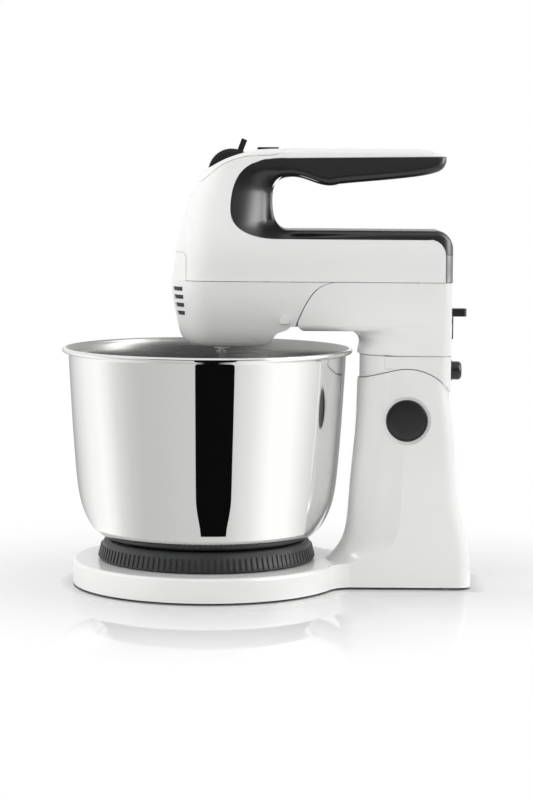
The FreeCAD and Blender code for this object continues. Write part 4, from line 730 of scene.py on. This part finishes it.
@dataclass
class Fittings:
    """The small pieces: hinge caps, eject key, catch tabs, the dark strip of painted shade in the neck's seam and the
    dark bars of painted shade in the vents. Millimetres.
    """

    shop: Workshop
    cap_radius: float = 16.6
    cap_groove: float = 15.1
    key_top: float = 349.8
    key_height: float = 7.2
    key_radius: float = 3.0
    tab_width: float = 7.0
    tab_height: float = 6.3
    tab_low: float = 211.4
    tab_front: float = 57.8
    seam: float = 0.35
    vent_rows: int = 4
    vent_low: float = 216.9
    vent_pitch: float = 6.4
    vent_height: float = 3.3
    vent_rear: float = -17.4
    vent_rake: float = 0.65
    vent_start: float = 12.0
    vent_sunk: float = 0.9
    nose_depth: float = 8.0

    def build(self) -> None:
        """Make each of them and fit it."""
        caps = Bench.joined("hinge_caps", [self.make_cap(side) for side in (-1, 1)])
        self.shop.fit(caps, self.shop.body("pivot_caps"), ("charcoal_hard",), ("pivot_caps",))
        self.shop.fit(self.make_key(), self.shop.body("eject_button"), ("charcoal_hard",), ("eject_button",))
        tabs = Bench.joined("catch_tabs", [self.make_tab(side) for side in (-1, 1)])
        self.shop.fit(tabs, self.shop.body("lower_housing"), ("white_gloss",))
        # a dark strip in the seam between neck and arm, painted shade for the gap
        self.shop.fit(self.make_seam_shade_strip(), self.shop.body("neck_collar"), ("inner_black",))
        # dark bars in the nose's slots, painted shade inside the vents
        self.shop.fit(self.make_vent_shade_bars(), self.shop.body("lower_housing"), ("inner_black",))

    def make_cap(self, side: int) -> bpy.types.Object:
        """Turn a shallow domed cap with a fine line near its rim, and stand it on the column's side.

        Args:
            side: -1 for the side towards the lens, 1 for the far side.

        Returns:
            The cap.
        """
        low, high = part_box("pivot_caps")
        face = high.y / MM
        groove = self.cap_groove
        stations = [(0, face - 5.4), (5.9, face - 5.4), (6.0, face - 5.3), (6.0, face - 2.4),
                    (self.cap_radius - 0.2, face - 2.4),
                    (self.cap_radius, face - 2.2), (self.cap_radius, face - 1.2), (self.cap_radius - 0.25, face - 0.8),
                    (groove + 0.45, face - 0.5), (groove + 0.3, face - 0.55), (groove + 0.2, face - 0.85),
                    (groove - 0.2, face - 0.85), (groove - 0.3, face - 0.5), (groove - 0.5, face - 0.42),
                    (12.0, face - 0.2), (7.0, face - 0.05), (0, face)]
        piece = Bench.turned("cap", Vector((0, 0, 0)), stations, 128)
        piece.rotation_euler = (-side * math.pi / 2, 0, 0)
        piece.location = ((low.x + high.x) / 2, 0, (low.z + high.z) / 2)
        Bench.close(piece)
        Bench.smooth(piece, 40)
        return piece

    def make_key(self) -> bpy.types.Object:
        """Shape the eject key: a dished cap on its rod with the spring's collar."""
        low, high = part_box("eject_button")
        Bench.clear()
        middle = (self.key_top - self.key_height / 2) * MM
        bpy.ops.mesh.primitive_cube_add(size=1, location=((high.x + low.x) / 2, 0, middle),
                                        scale=(high.x - low.x, high.y - low.y, self.key_height * MM))
        cap = Bench.named("key_cap")
        bpy.ops.object.transform_apply(location=True, rotation=False, scale=True)
        top = (self.key_top - 0.05) * MM
        Bench.pick("FACE", lambda p: p.z > top)
        bpy.ops.mesh.inset(thickness=1.6 * MM)
        bpy.ops.mesh.inset(thickness=0.8 * MM, depth=-0.35 * MM)
        Bench.close(cap)
        Bench.modify(cap, "BEVEL", width=0.9 * MM, segments=4, limit_method="ANGLE", angle_limit=math.radians(50))
        Bench.smooth(cap, 40)
        axle = self.shop.centre("eject_spring")
        foot, head = low.z / MM, self.key_top - self.key_height + 0.2
        rod_radius, step = self.key_radius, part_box("eject_spring")[1].z / MM
        stations = [(0, foot), (rod_radius - 0.4, foot), (rod_radius, foot + 0.4), (rod_radius, step),
                    (rod_radius + 2.3, step), (rod_radius + 2.5, step + 0.2), (rod_radius + 2.5, step + 1.8),
                    (rod_radius + 2.3, step + 2.0), (rod_radius, step + 2.0), (rod_radius, head), (0, head)]
        rod = Bench.turned("key_rod", Vector((axle.x, axle.y, 0)), stations, 32)
        Bench.smooth(rod, 40)
        return Bench.joined("eject_key", [cap, rod])

    def make_tab(self, side: int) -> bpy.types.Object:
        """Shape the low round-headed tab on the lower housing that lies over the catch's rib.

        Args:
            side: -1 for the side towards the lens, 1 for the far side.

        Returns:
            The tab, which stands 0.3 mm out of the housing.
        """
        Bench.clear()
        half = self.tab_width / 2
        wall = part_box("lower_housing")[1].y
        place = self.shop.spot(self.tab_front + half, 0, self.tab_low + self.tab_height - half)
        bpy.ops.mesh.primitive_cylinder_add(vertices=48, radius=half * MM, depth=2.0 * MM, end_fill_type="NGON",
                                            location=(place.x, side * (wall - 1.4 * MM), place.z),
                                            rotation=(math.pi / 2, 0, 0))
        piece = Bench.named("tab")
        bpy.ops.object.transform_apply(location=True, rotation=True, scale=True)
        Bench.pick("VERT", lambda p: p.z < place.z - 0.1 * MM)
        bpy.ops.transform.resize(value=(1, 1, 0), center_override=(place.x, 0, self.tab_low * MM))
        Bench.close(piece)
        Bench.smooth(piece, 40)
        return piece

    def make_seam_shade_strip(self) -> bpy.types.Object:
        """Cut a dark strip from the neck's own outline and lay it in the seam between the neck and the arm: painted
        shade for the gap there.
        """
        Bench.clear()
        source = self.shop.frame["nodes"]["neck_collar"]
        piece = self.shop.copied(source, "neck_seam_painted_shade")
        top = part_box("neck_collar")[1].z
        for height, side in ((top - self.seam * MM, "clear_inner"), (top - 0.06 * MM, "clear_outer")):
            bpy.ops.mesh.select_all(action="SELECT")
            bpy.ops.mesh.bisect(plane_co=(0, 0, height), plane_no=(0, 0, 1), use_fill=True, **{side: True})
        bpy.ops.mesh.select_all(action="SELECT")
        bpy.ops.transform.shrink_fatten(value=0.05 * MM)
        Bench.close(piece)
        return piece

    def make_vent_shade_bars(self) -> bpy.types.Object:
        """Shape dark bars that fill the nose's slots as painted shade inside them, from one copy of the nose's outline.
        """
        nose = self.shop.copied(self.shop.frame["nodes"]["lower_housing"], "nose")
        behind = self.shop.spot(self.vent_rear + self.nose_depth, 0, 0)
        bpy.ops.mesh.bisect(plane_co=behind, plane_no=(1, 0, 0), clear_outer=True)
        bpy.ops.mesh.select_all(action="SELECT")
        bpy.ops.mesh.convex_hull(use_existing_faces=False)
        bpy.ops.mesh.select_all(action="SELECT")
        bpy.ops.mesh.normals_make_consistent(inside=False)
        bpy.ops.transform.shrink_fatten(value=-self.vent_sunk * MM)
        Bench.close(nose)
        bars = [self.make_vent_shade_bar(nose, side, row) for side in (-1, 1) for row in range(self.vent_rows)]
        bpy.data.objects.remove(nose)
        return Bench.joined("vent_painted_shade_bars", bars)

    def make_vent_shade_bar(self, nose: bpy.types.Object, side: int, row: int) -> bpy.types.Object:
        """Cut the bar of one slot out of a copy of the sunk nose.

        Args:
            nose: The nose's outline, a little below the skin.
            side: -1 for the side towards the lens, 1 for the far side.
            row: The slot's number, from the lowest up.

        Returns:
            The bar.
        """
        piece = self.shop.copied(nose, "bar")
        low = self.vent_low + self.vent_pitch * row
        rear = self.vent_rear - self.vent_rake * row
        for place, normal in (((rear, 0, 0), (1, 0, 0)), ((0, side * self.vent_start, 0), (0, -side, 0)),
                              ((0, 0, low), (0, 0, -1)), ((0, 0, low + self.vent_height), (0, 0, 1))):
            bpy.ops.mesh.select_all(action="SELECT")
            bpy.ops.mesh.bisect(plane_co=self.shop.spot(*place), plane_no=normal, use_fill=True, clear_outer=True)
        Bench.close(piece)
        return piece


# ---------------------------------------------------------------- grip


@dataclass
class Grip:
    """The soft grip, whose pillar rounds away towards the finger opening. Millimetres from the bowl's axis."""

    shop: Workshop
    roll_start: float = 14.0
    roll_radius: float = 40.0
    roll_knee: float = 43.5
    roll_end: float = 49.0
    low: float = 272.0
    high: float = 334.0
    fade: float = 21.0
    blend_start: float = 52.0
    blend_length: float = 22.0
    half_width: float = 30.0

    def build(self) -> None:
        """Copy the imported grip, cut it finely round the pillar and round the pillar off."""
        piece = self.shop.copied(self.shop.frame["nodes"]["handle_grip"], "soft_grip")
        x = self.roll_start
        while x < self.roll_end + 8:
            self.cut(self.shop.spot(x, 0, 0), (1, 0, 0))
            x += 1.2
        z = self.low - 2
        while z < self.high + 2:
            self.cut(Vector((0, 0, z * MM)), (0, 0, 1))
            z += 1.5
        Bench.clear()
        for vertex in piece.data.vertices:
            vertex.co.y *= self.narrowing(vertex.co)
        if piece.data.has_custom_normals:
            piece.select_set(True)
            bpy.context.view_layer.objects.active = piece
            bpy.ops.mesh.customdata_custom_splitnormals_clear()
        Bench.smooth(piece, 38)
        Bench.modify(piece, "WEIGHTED_NORMAL", keep_sharp=True, weight=60)
        self.shop.fit(piece, "mixer", ("charcoal_soft",), ("handle_grip",))

    @staticmethod
    def cut(place: Vector, normal: tuple[float, float, float]) -> None:
        """Cut every face along a plane, and keep both sides."""
        bpy.ops.mesh.select_all(action="SELECT")
        bpy.ops.mesh.bisect(plane_co=place, plane_no=normal)

    def narrowing(self, place: Vector) -> float:
        """Work out how much of its half width a point of the pillar keeps.

        Args:
            place: The point, in metres.

        Returns:
            The share that is kept, 1 outside the pillar.
        """
        x = (place.x - self.shop.axis.x) / MM
        z = place.z / MM
        round_part = min(max(x, self.roll_start), self.roll_knee) - self.roll_start
        depth = self.roll_radius - math.sqrt(self.roll_radius ** 2 - round_part ** 2)
        span = self.roll_end - self.roll_knee
        past = min(max((x - self.roll_knee) / span, 0), 1)
        depth += math.tan(math.asin(round_part / self.roll_radius)) * span * (past - past * past / 2)
        beyond = min(max((x - self.blend_start) / self.blend_length, 0), 1)
        depth *= 1 - beyond * beyond * (3 - 2 * beyond)
        inside = min(max(min(z - self.low, self.high - z) / self.fade, 0), 1)
        depth *= inside * inside * (3 - 2 * inside)
        return 1 - depth / self.half_width


# ---------------------------------------------------------------- studio


@dataclass
class Studio:
    """A plain pale floor, soft panels and the camera. Metres."""

    shop: Workshop
    lens: float = 108.0
    sensor: float = 36.0
    camera_place: tuple[float, float, float] = (-0.00025, -1.920, 0.3342)
    camera_pitch: float = 84.45
    camera_roll: float = 0.41
    world_level: float = 0.46
    white_level: float = 1.0
    polish: float = 0.70
    polish_fade: float = 0.28
    room_radius: float = 1.15
    room_height: float = 1.0
    strip_level: float = 11.0
    strip_radius: float = 1.08
    strip_top: float = 2.4
    strip_middle: float = 77.0
    strip_half: float = 35.0
    strip_foot: tuple[float, float] = (0.12, 0.42)
    strip_head: tuple[float, float] = (0.4, 2.0)

    def build(self) -> None:
        """Set up the camera, the world, the floor, the lamps and the tent."""
        bpy.context.scene.view_settings.view_transform = "Standard"
        self.set_camera()
        self.set_world()
        self.set_floor()
        self.set_lamp("left_panel", (-1.77, -0.31, 0.55), 1.5, 16.0)
        self.set_lamp("right_panel", (1.77, -0.31, 0.55), 1.5, 16.0)
        self.set_lamp("key_panel", (-0.9, -1.5, 1.35), 1.2, 9.0)
        self.set_lamp("top_panel", (0.0, -0.1, 2.0), 1.6, 10.0)
        self.set_room()
        self.set_tent()

    def set_camera(self) -> None:
        """Add the camera and look through it."""
        data = bpy.data.cameras.new("camera")
        data.lens = self.lens
        data.sensor_width = self.sensor
        camera = bpy.data.objects.new("camera", data)
        bpy.context.scene.collection.objects.link(camera)
        turn = Euler((math.radians(self.camera_pitch), 0, 0)).to_matrix().to_4x4()
        roll = Matrix.Rotation(math.radians(self.camera_roll), 4, "Z")
        camera.matrix_world = Matrix.Translation(self.camera_place) @ turn @ roll
        bpy.context.scene.camera = camera

    def set_world(self) -> None:
        """Make a world that lights softly and shows as plain white."""
        world = bpy.data.worlds.new("studio")
        bpy.context.scene.world = world
        world.use_nodes = True
        tree = world.node_tree
        seen = self.seen(tree)
        light = add_node(tree, "ShaderNodeBackground", None, {"Color": (1, 1, 1, 1), "Strength": self.world_level})
        white = add_node(tree, "ShaderNodeBackground", None, {"Color": (1, 1, 1, 1), "Strength": self.white_level})
        mix = add_node(tree, "ShaderNodeMixShader", None, {0: seen, 1: light.outputs[0], 2: white.outputs[0]})
        tree.links.new(mix.outputs[0], tree.nodes["World Output"].inputs["Surface"])

    @staticmethod
    def seen(tree: bpy.types.NodeTree) -> bpy.types.NodeSocket:
        """Return 1 where the camera, a gloss or a clear material looks, and 0 where light is gathered."""
        path = add_node(tree, "ShaderNodeLightPath")
        first = add_node(tree, "ShaderNodeMath", {"operation": "MAXIMUM"},
                         {0: path.outputs["Is Camera Ray"], 1: path.outputs["Is Glossy Ray"]})
        return add_node(tree, "ShaderNodeMath", {"operation": "MAXIMUM"},
                        {0: first.outputs[0], 1: path.outputs["Is Transmission Ray"]}).outputs[0]

    def set_floor(self) -> None:
        """Lay a white acrylic floor: it mirrors the mixer's foot, takes its shadow, carries a painted contact shadow
        where its glow fades out at the base's outline, and is plain white further off.
        """
        Bench.clear()
        bpy.ops.mesh.primitive_plane_add(size=14.0)
        floor = Bench.named("floor")
        material = bpy.data.materials.new("polished_white_acrylic")
        material.use_nodes = True
        tree = material.node_tree
        tree.nodes.remove(tree.nodes["Principled BSDF"])
        seen = self.seen(tree)
        away = self.footprint_distance(tree, add_node(tree, "ShaderNodeTexCoord").outputs["Object"])
        shade = add_node(tree, "ShaderNodeMix", {"data_type": "RGBA"},
                         {"Factor": seen, 6: linear("#E9E9E9"), 7: linear("#AFAFAF")})
        matt = add_node(tree, "ShaderNodeBsdfDiffuse", None, {"Color": shade.outputs[2]})
        # Painted contact shadow: the glow is nothing at the base's outline and grows to full over 12 mm, so a narrow
        # dark band is painted round the foot.
        clear = add_node(tree, "ShaderNodeMapRange", None, {"Value": away, "From Max": 0.012, "To Max": 0.62})
        glow_with_painted_contact_shadow = add_node(tree, "ShaderNodeMath", {"operation": "MULTIPLY"}, {0: seen, 1: clear.outputs[0]})
        glow = add_node(tree, "ShaderNodeEmission", None, {"Color": (1, 1, 1, 1), "Strength": glow_with_painted_contact_shadow.outputs[0]})
        body = add_node(tree, "ShaderNodeAddShader", None, {0: matt.outputs[0], 1: glow.outputs[0]})
        white = add_node(tree, "ShaderNodeEmission", None, {"Color": (1, 1, 1, 1), "Strength": self.white_level})
        far = add_node(tree, "ShaderNodeMapRange", {"interpolation_type": "SMOOTHERSTEP"},
                       {"Value": away, "From Min": 0.05, "From Max": 0.38})
        plain = add_node(tree, "ShaderNodeMath", {"operation": "MULTIPLY"}, {0: seen, 1: far.outputs[0]})
        ground = add_node(tree, "ShaderNodeMixShader", None,
                          {0: plain.outputs[0], 1: body.outputs[0], 2: white.outputs[0]})
        mirror = add_node(tree, "ShaderNodeBsdfGlossy", None, {"Color": linear("#E0E0E0"), "Roughness": 0.04})
        depth = add_node(tree, "ShaderNodeMapRange", None,
                         {"Value": away, "From Max": self.polish_fade, "To Min": 1.0, "To Max": 0.0})
        fall = add_node(tree, "ShaderNodeMath", {"operation": "POWER"}, {0: depth.outputs[0], 1: 1.5})
        share = add_node(tree, "ShaderNodeMath", {"operation": "MULTIPLY"}, {0: fall.outputs[0], 1: self.polish})
        mix = add_node(tree, "ShaderNodeMixShader", None,
                       {0: share.outputs[0], 1: ground.outputs[0], 2: mirror.outputs[0]})
        tree.links.new(mix.outputs[0], tree.nodes["Material Output"].inputs["Surface"])
        floor.data.materials.append(material)

    def footprint_distance(self, tree: bpy.types.NodeTree, place: bpy.types.NodeSocket) -> bpy.types.NodeSocket:
        """Add nodes for how far a point of the floor lies from the base's outline.

        Args:
            tree: The floor's material.
            place: Object coordinates.

        Returns:
            The distance in metres, 0 under the base.
        """
        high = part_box("stand_shell")[1]
        half_foot = 0.036
        moved = add_node(tree, "ShaderNodeVectorMath", {"operation": "SUBTRACT"}, {0: place, 1: self.shop.axis})
        disc = add_node(tree, "ShaderNodeVectorMath", {"operation": "LENGTH"}, {0: moved.outputs[0]})
        from_disc = add_node(tree, "ShaderNodeMath", {"operation": "SUBTRACT"}, {0: disc.outputs["Value"], 1: high.y})
        shifted = add_node(tree, "ShaderNodeVectorMath", {"operation": "SUBTRACT"}, {0: place, 1: (high.x / 2, 0, 0)})
        size = add_node(tree, "ShaderNodeVectorMath", {"operation": "ABSOLUTE"}, {0: shifted.outputs[0]})
        past = add_node(tree, "ShaderNodeVectorMath", {"operation": "SUBTRACT"},
                        {0: size.outputs[0], 1: (high.x / 2, half_foot, 0)})
        beyond = add_node(tree, "ShaderNodeVectorMath", {"operation": "MAXIMUM"}, {0: past.outputs[0]})
        foot = add_node(tree, "ShaderNodeVectorMath", {"operation": "LENGTH"}, {0: beyond.outputs[0]})
        near = add_node(tree, "ShaderNodeMath", {"operation": "MINIMUM"},
                        {0: from_disc.outputs[0], 1: foot.outputs["Value"]})
        return add_node(tree, "ShaderNodeMath", {"operation": "MAXIMUM"}, {0: near.outputs[0], 1: 0.0}).outputs[0]

    def set_lamp(self, name: str, place: tuple[float, float, float], size: float, power: float) -> None:
        """Add a square soft panel that faces the mixer.

        Args:
            name: The lamp's name.
            place: Where it hangs.
            size: Its side.
            power: Its power, in watts.
        """
        data = bpy.data.lights.new(name, "AREA")
        data.size = size
        data.energy = power
        lamp = bpy.data.objects.new(name, data)
        bpy.context.scene.collection.objects.link(lamp)
        lamp.location = place
        aim = Vector((0, 0, 0.18)) - Vector(place)
        lamp.rotation_euler = aim.to_track_quat("-Z", "Y").to_euler()
        lamp.visible_camera = False
        lamp.visible_glossy = False

    def set_room(self) -> None:
        """Stand a ring of cloth and cards far round the mixer, which only reflections see.

        It is dark behind the lens and white elsewhere, with one bright tall strip to the right that has soft ends.
        """
        Bench.clear()
        bpy.ops.mesh.primitive_cylinder_add(vertices=96, radius=self.room_radius, depth=self.room_height,
                                            location=(0, 0, self.room_height / 2), end_fill_type="NOTHING")
        room = Bench.named("room")
        Bench.close(room)
        levels = [(-180, 1.0), (-62, 1.0), (-50, 0.55), (-38, 0.12), (-24, 0.08), (0, 0.06), (24, 0.08), (42, 0.12),
                  (60, 0.5), (80, 1.0), (180, 1.0)]
        self.reflected(room, self.banded("room_cards", levels, Vector((0, 0, 0)), "LINEAR"))
        reach = self.strip_radius / MM
        strip = self.wrapped("soft_strip", [(reach, 20.0), (reach, self.strip_top / MM)], 48,
                             lambda z: (self.strip_middle - self.strip_half - 2, self.strip_middle + self.strip_half))
        self.reflected(strip, self.soft_strip("strip_softbox"))

    def set_tent(self) -> None:
        """Stand a translucent tent round the bowl, open at the column, with the lens's slit in front.

        Only reflections see it: it gives the polished steel its soft grey bands and its one dark stripe.
        """
        cloth: Stations = [(92.5, 37.3), (101.0, 38.2), (109.5, 41.0), (118.0, 46.0), (126.0, 54.0), (132.5, 66.0),
                           (136.5, 82.0), (138.0, 100.0), (138.0, 145.0), (138.0, 192.0)]
        bands = [(-180, 0.70), (-158, 0.95), (-132, 0.80), (-120, 0.42), (-108, 0.52), (-98, 0.74), (-91, 0.88),
                 (-76, 1.14), (-62, 1.24), (-55, 1.10), (-49, 0.90), (-41, 0.74), (-33, 0.66), (-22, 0.68), (-12, 0.71),
                 (6, 0.74), (13, 0.77), (18, 0.88), (24, 0.98), (29, 1.12), (35, 1.27), (48, 1.27), (55, 1.12),
                 (62, 0.96), (69, 0.82), (99, 0.34), (120, 0.34), (150, 0.7), (180, 0.70)]
        tent = self.wrapped("tent", cloth, 90, lambda z: (100.0 - 360.0, 67.0))
        self.reflected(tent, self.banded("lit_tent_cloth", bands, self.shop.axis, "LINEAR"))
        slit = self.wrapped("slit", [(r - 1.2, z + 0.2) for r, z in cloth if z > 38], 12, self.slit_edges)
        self.reflected(slit, self.banded("slit_shade", [(-180, 0.004), (180, 0.004)], self.shop.axis, "LINEAR"))

    @staticmethod
    def slit_edges(height: float) -> tuple[float, float]:
        """Return the slit's edges, in degrees round the bowl, at a height in millimetres: it tapers at its foot."""
        rise = min(max((height - 38.0) / 36.0, 0), 1)
        half = 6.6 + 2.8 * rise * (2 - rise)
        return 5.0 - half, 5.0 + half

    def wrapped(self, name: str, profile: Stations, columns: int,
                edges: Callable[[float], tuple[float, float]]) -> bpy.types.Object:
        """Wrap a sheet round the bowl's axis.

        Args:
            name: The sheet's name.
            profile: Radius and height of each row, in millimetres, from the foot up.
            columns: How many faces it has round the axis.
            edges: Gives the azimuths of its two edges at a height, in degrees, 0 towards the lens.

        Returns:
            The sheet, with its place in its mesh.
        """
        Bench.clear()
        rows = len(profile) - 1
        bpy.ops.mesh.primitive_grid_add(x_subdivisions=columns, y_subdivisions=rows, size=2.0)
        sheet = Bench.named(name)
        for vertex in sheet.data.vertices:
            radius, height = profile[round((vertex.co.y + 1) / 2 * rows)]
            start, end = edges(height)
            angle = math.radians(start + (end - start) * (vertex.co.x + 1) / 2)
            vertex.co = self.shop.axis + Vector((radius * math.sin(angle), -radius * math.cos(angle), height)) * MM
        return sheet

    @staticmethod
    def reflected(piece: bpy.types.Object, material: bpy.types.Material) -> None:
        """Give a card of the studio its material and show it to reflections only."""
        piece.data.materials.append(material)
        for ray in ("camera", "diffuse", "transmission", "volume_scatter", "shadow"):
            setattr(piece, "visible_" + ray, False)

    def soft_strip(self, name: str) -> bpy.types.Material:
        """Make the cloth of the tall strip, which fades out to its sides, its foot and its head.

        Args:
            name: The material's name.

        Returns:
            The material.
        """
        material = bpy.data.materials.new(name)
        material.use_nodes = True
        tree = material.node_tree
        tree.nodes.remove(tree.nodes["Principled BSDF"])
        place = add_node(tree, "ShaderNodeTexCoord").outputs["Object"]
        height = add_node(tree, "ShaderNodeSeparateXYZ", None, {0: place}).outputs[2]
        turn = math.radians(self.strip_middle)
        across = add_node(tree, "ShaderNodeVectorMath", {"operation": "DOT_PRODUCT"},
                          {0: place, 1: (math.cos(turn), math.sin(turn), 0.0)})
        offset = add_node(tree, "ShaderNodeMath", {"operation": "ABSOLUTE"}, {0: across.outputs["Value"]})
        width = self.strip_radius * math.sin(math.radians(self.strip_half))
        eased = {"interpolation_type": "SMOOTHERSTEP"}
        sides = add_node(tree, "ShaderNodeMapRange", eased,
                         {"Value": offset.outputs[0], "From Max": width, "To Min": 1.0, "To Max": 0.0})
        head = add_node(tree, "ShaderNodeMapRange", eased,
                        {"Value": height, "From Min": self.strip_head[0], "From Max": self.strip_head[1],
                         "To Min": 1.0, "To Max": 0.0})
        foot = add_node(tree, "ShaderNodeMapRange", eased,
                        {"Value": height, "From Min": self.strip_foot[0], "From Max": self.strip_foot[1]})
        tall = add_node(tree, "ShaderNodeMath", {"operation": "MULTIPLY"}, {0: head.outputs[0], 1: foot.outputs[0]})
        cover = add_node(tree, "ShaderNodeMath", {"operation": "MULTIPLY"}, {0: sides.outputs[0], 1: tall.outputs[0]})
        glow = add_node(tree, "ShaderNodeEmission", None, {"Color": (1, 1, 1, 1), "Strength": self.strip_level})
        clear = add_node(tree, "ShaderNodeBsdfTransparent")
        mix = add_node(tree, "ShaderNodeMixShader", None,
                       {0: cover.outputs[0], 1: clear.outputs[0], 2: glow.outputs[0]})
        tree.links.new(mix.outputs[0], tree.nodes["Material Output"].inputs["Surface"])
        return material

    @staticmethod
    def banded(name: str, bands: Stations, axis: Vector, blend: str) -> bpy.types.Material:
        """Make a cloth or card whose brightness changes round an upright axis.

        Args:
            name: The material's name.
            bands: Azimuth in degrees, 0 towards the lens and more to the right, and the brightness there.
            axis: A point on the axis.
            blend: How the brightness runs between the bands.

        Returns:
            The material.
        """
        material = bpy.data.materials.new(name)
        material.use_nodes = True
        tree = material.node_tree
        tree.nodes.remove(tree.nodes["Principled BSDF"])
        place = add_node(tree, "ShaderNodeTexCoord").outputs["Object"]
        moved = add_node(tree, "ShaderNodeMapping", {"vector_type": "POINT"},
                         {"Vector": place, "Location": (0.0, -axis.x, 0.0), "Rotation": (0, 0, math.pi / 2)})
        around = add_node(tree, "ShaderNodeTexGradient", {"gradient_type": "RADIAL"}, {"Vector": moved.outputs[0]})
        ramp = add_node(tree, "ShaderNodeValToRGB", None, {"Fac": around.outputs["Fac"]})
        ramp.color_ramp.interpolation = blend
        stops = ramp.color_ramp.elements
        while len(stops) < len(bands):
            stops.new(0.5)
        brightest = max(level for _, level in bands)
        for stop, (angle, level) in zip(stops, bands):
            share = level / brightest
            stop.position = (angle + 180) / 360
            stop.color = (share, share, share, 1)
        glow = add_node(tree, "ShaderNodeEmission", None, {"Color": ramp.outputs["Color"], "Strength": brightest})
        tree.links.new(glow.outputs[0], tree.nodes["Material Output"].inputs["Surface"])
        return material


def main() -> None:
    """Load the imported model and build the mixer's pieces and its studio in order."""
    logging.basicConfig(level=logging.INFO, format="%(name)s: %(message)s")
    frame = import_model()
    shop = Workshop(frame)
    shop.dress_nodes()
    Bowl(shop).build()
    Controls(shop).build()
    Fittings(shop).build()
    Grip(shop).build()
    Studio(shop).build()


if __name__ == "__main__":
    main()
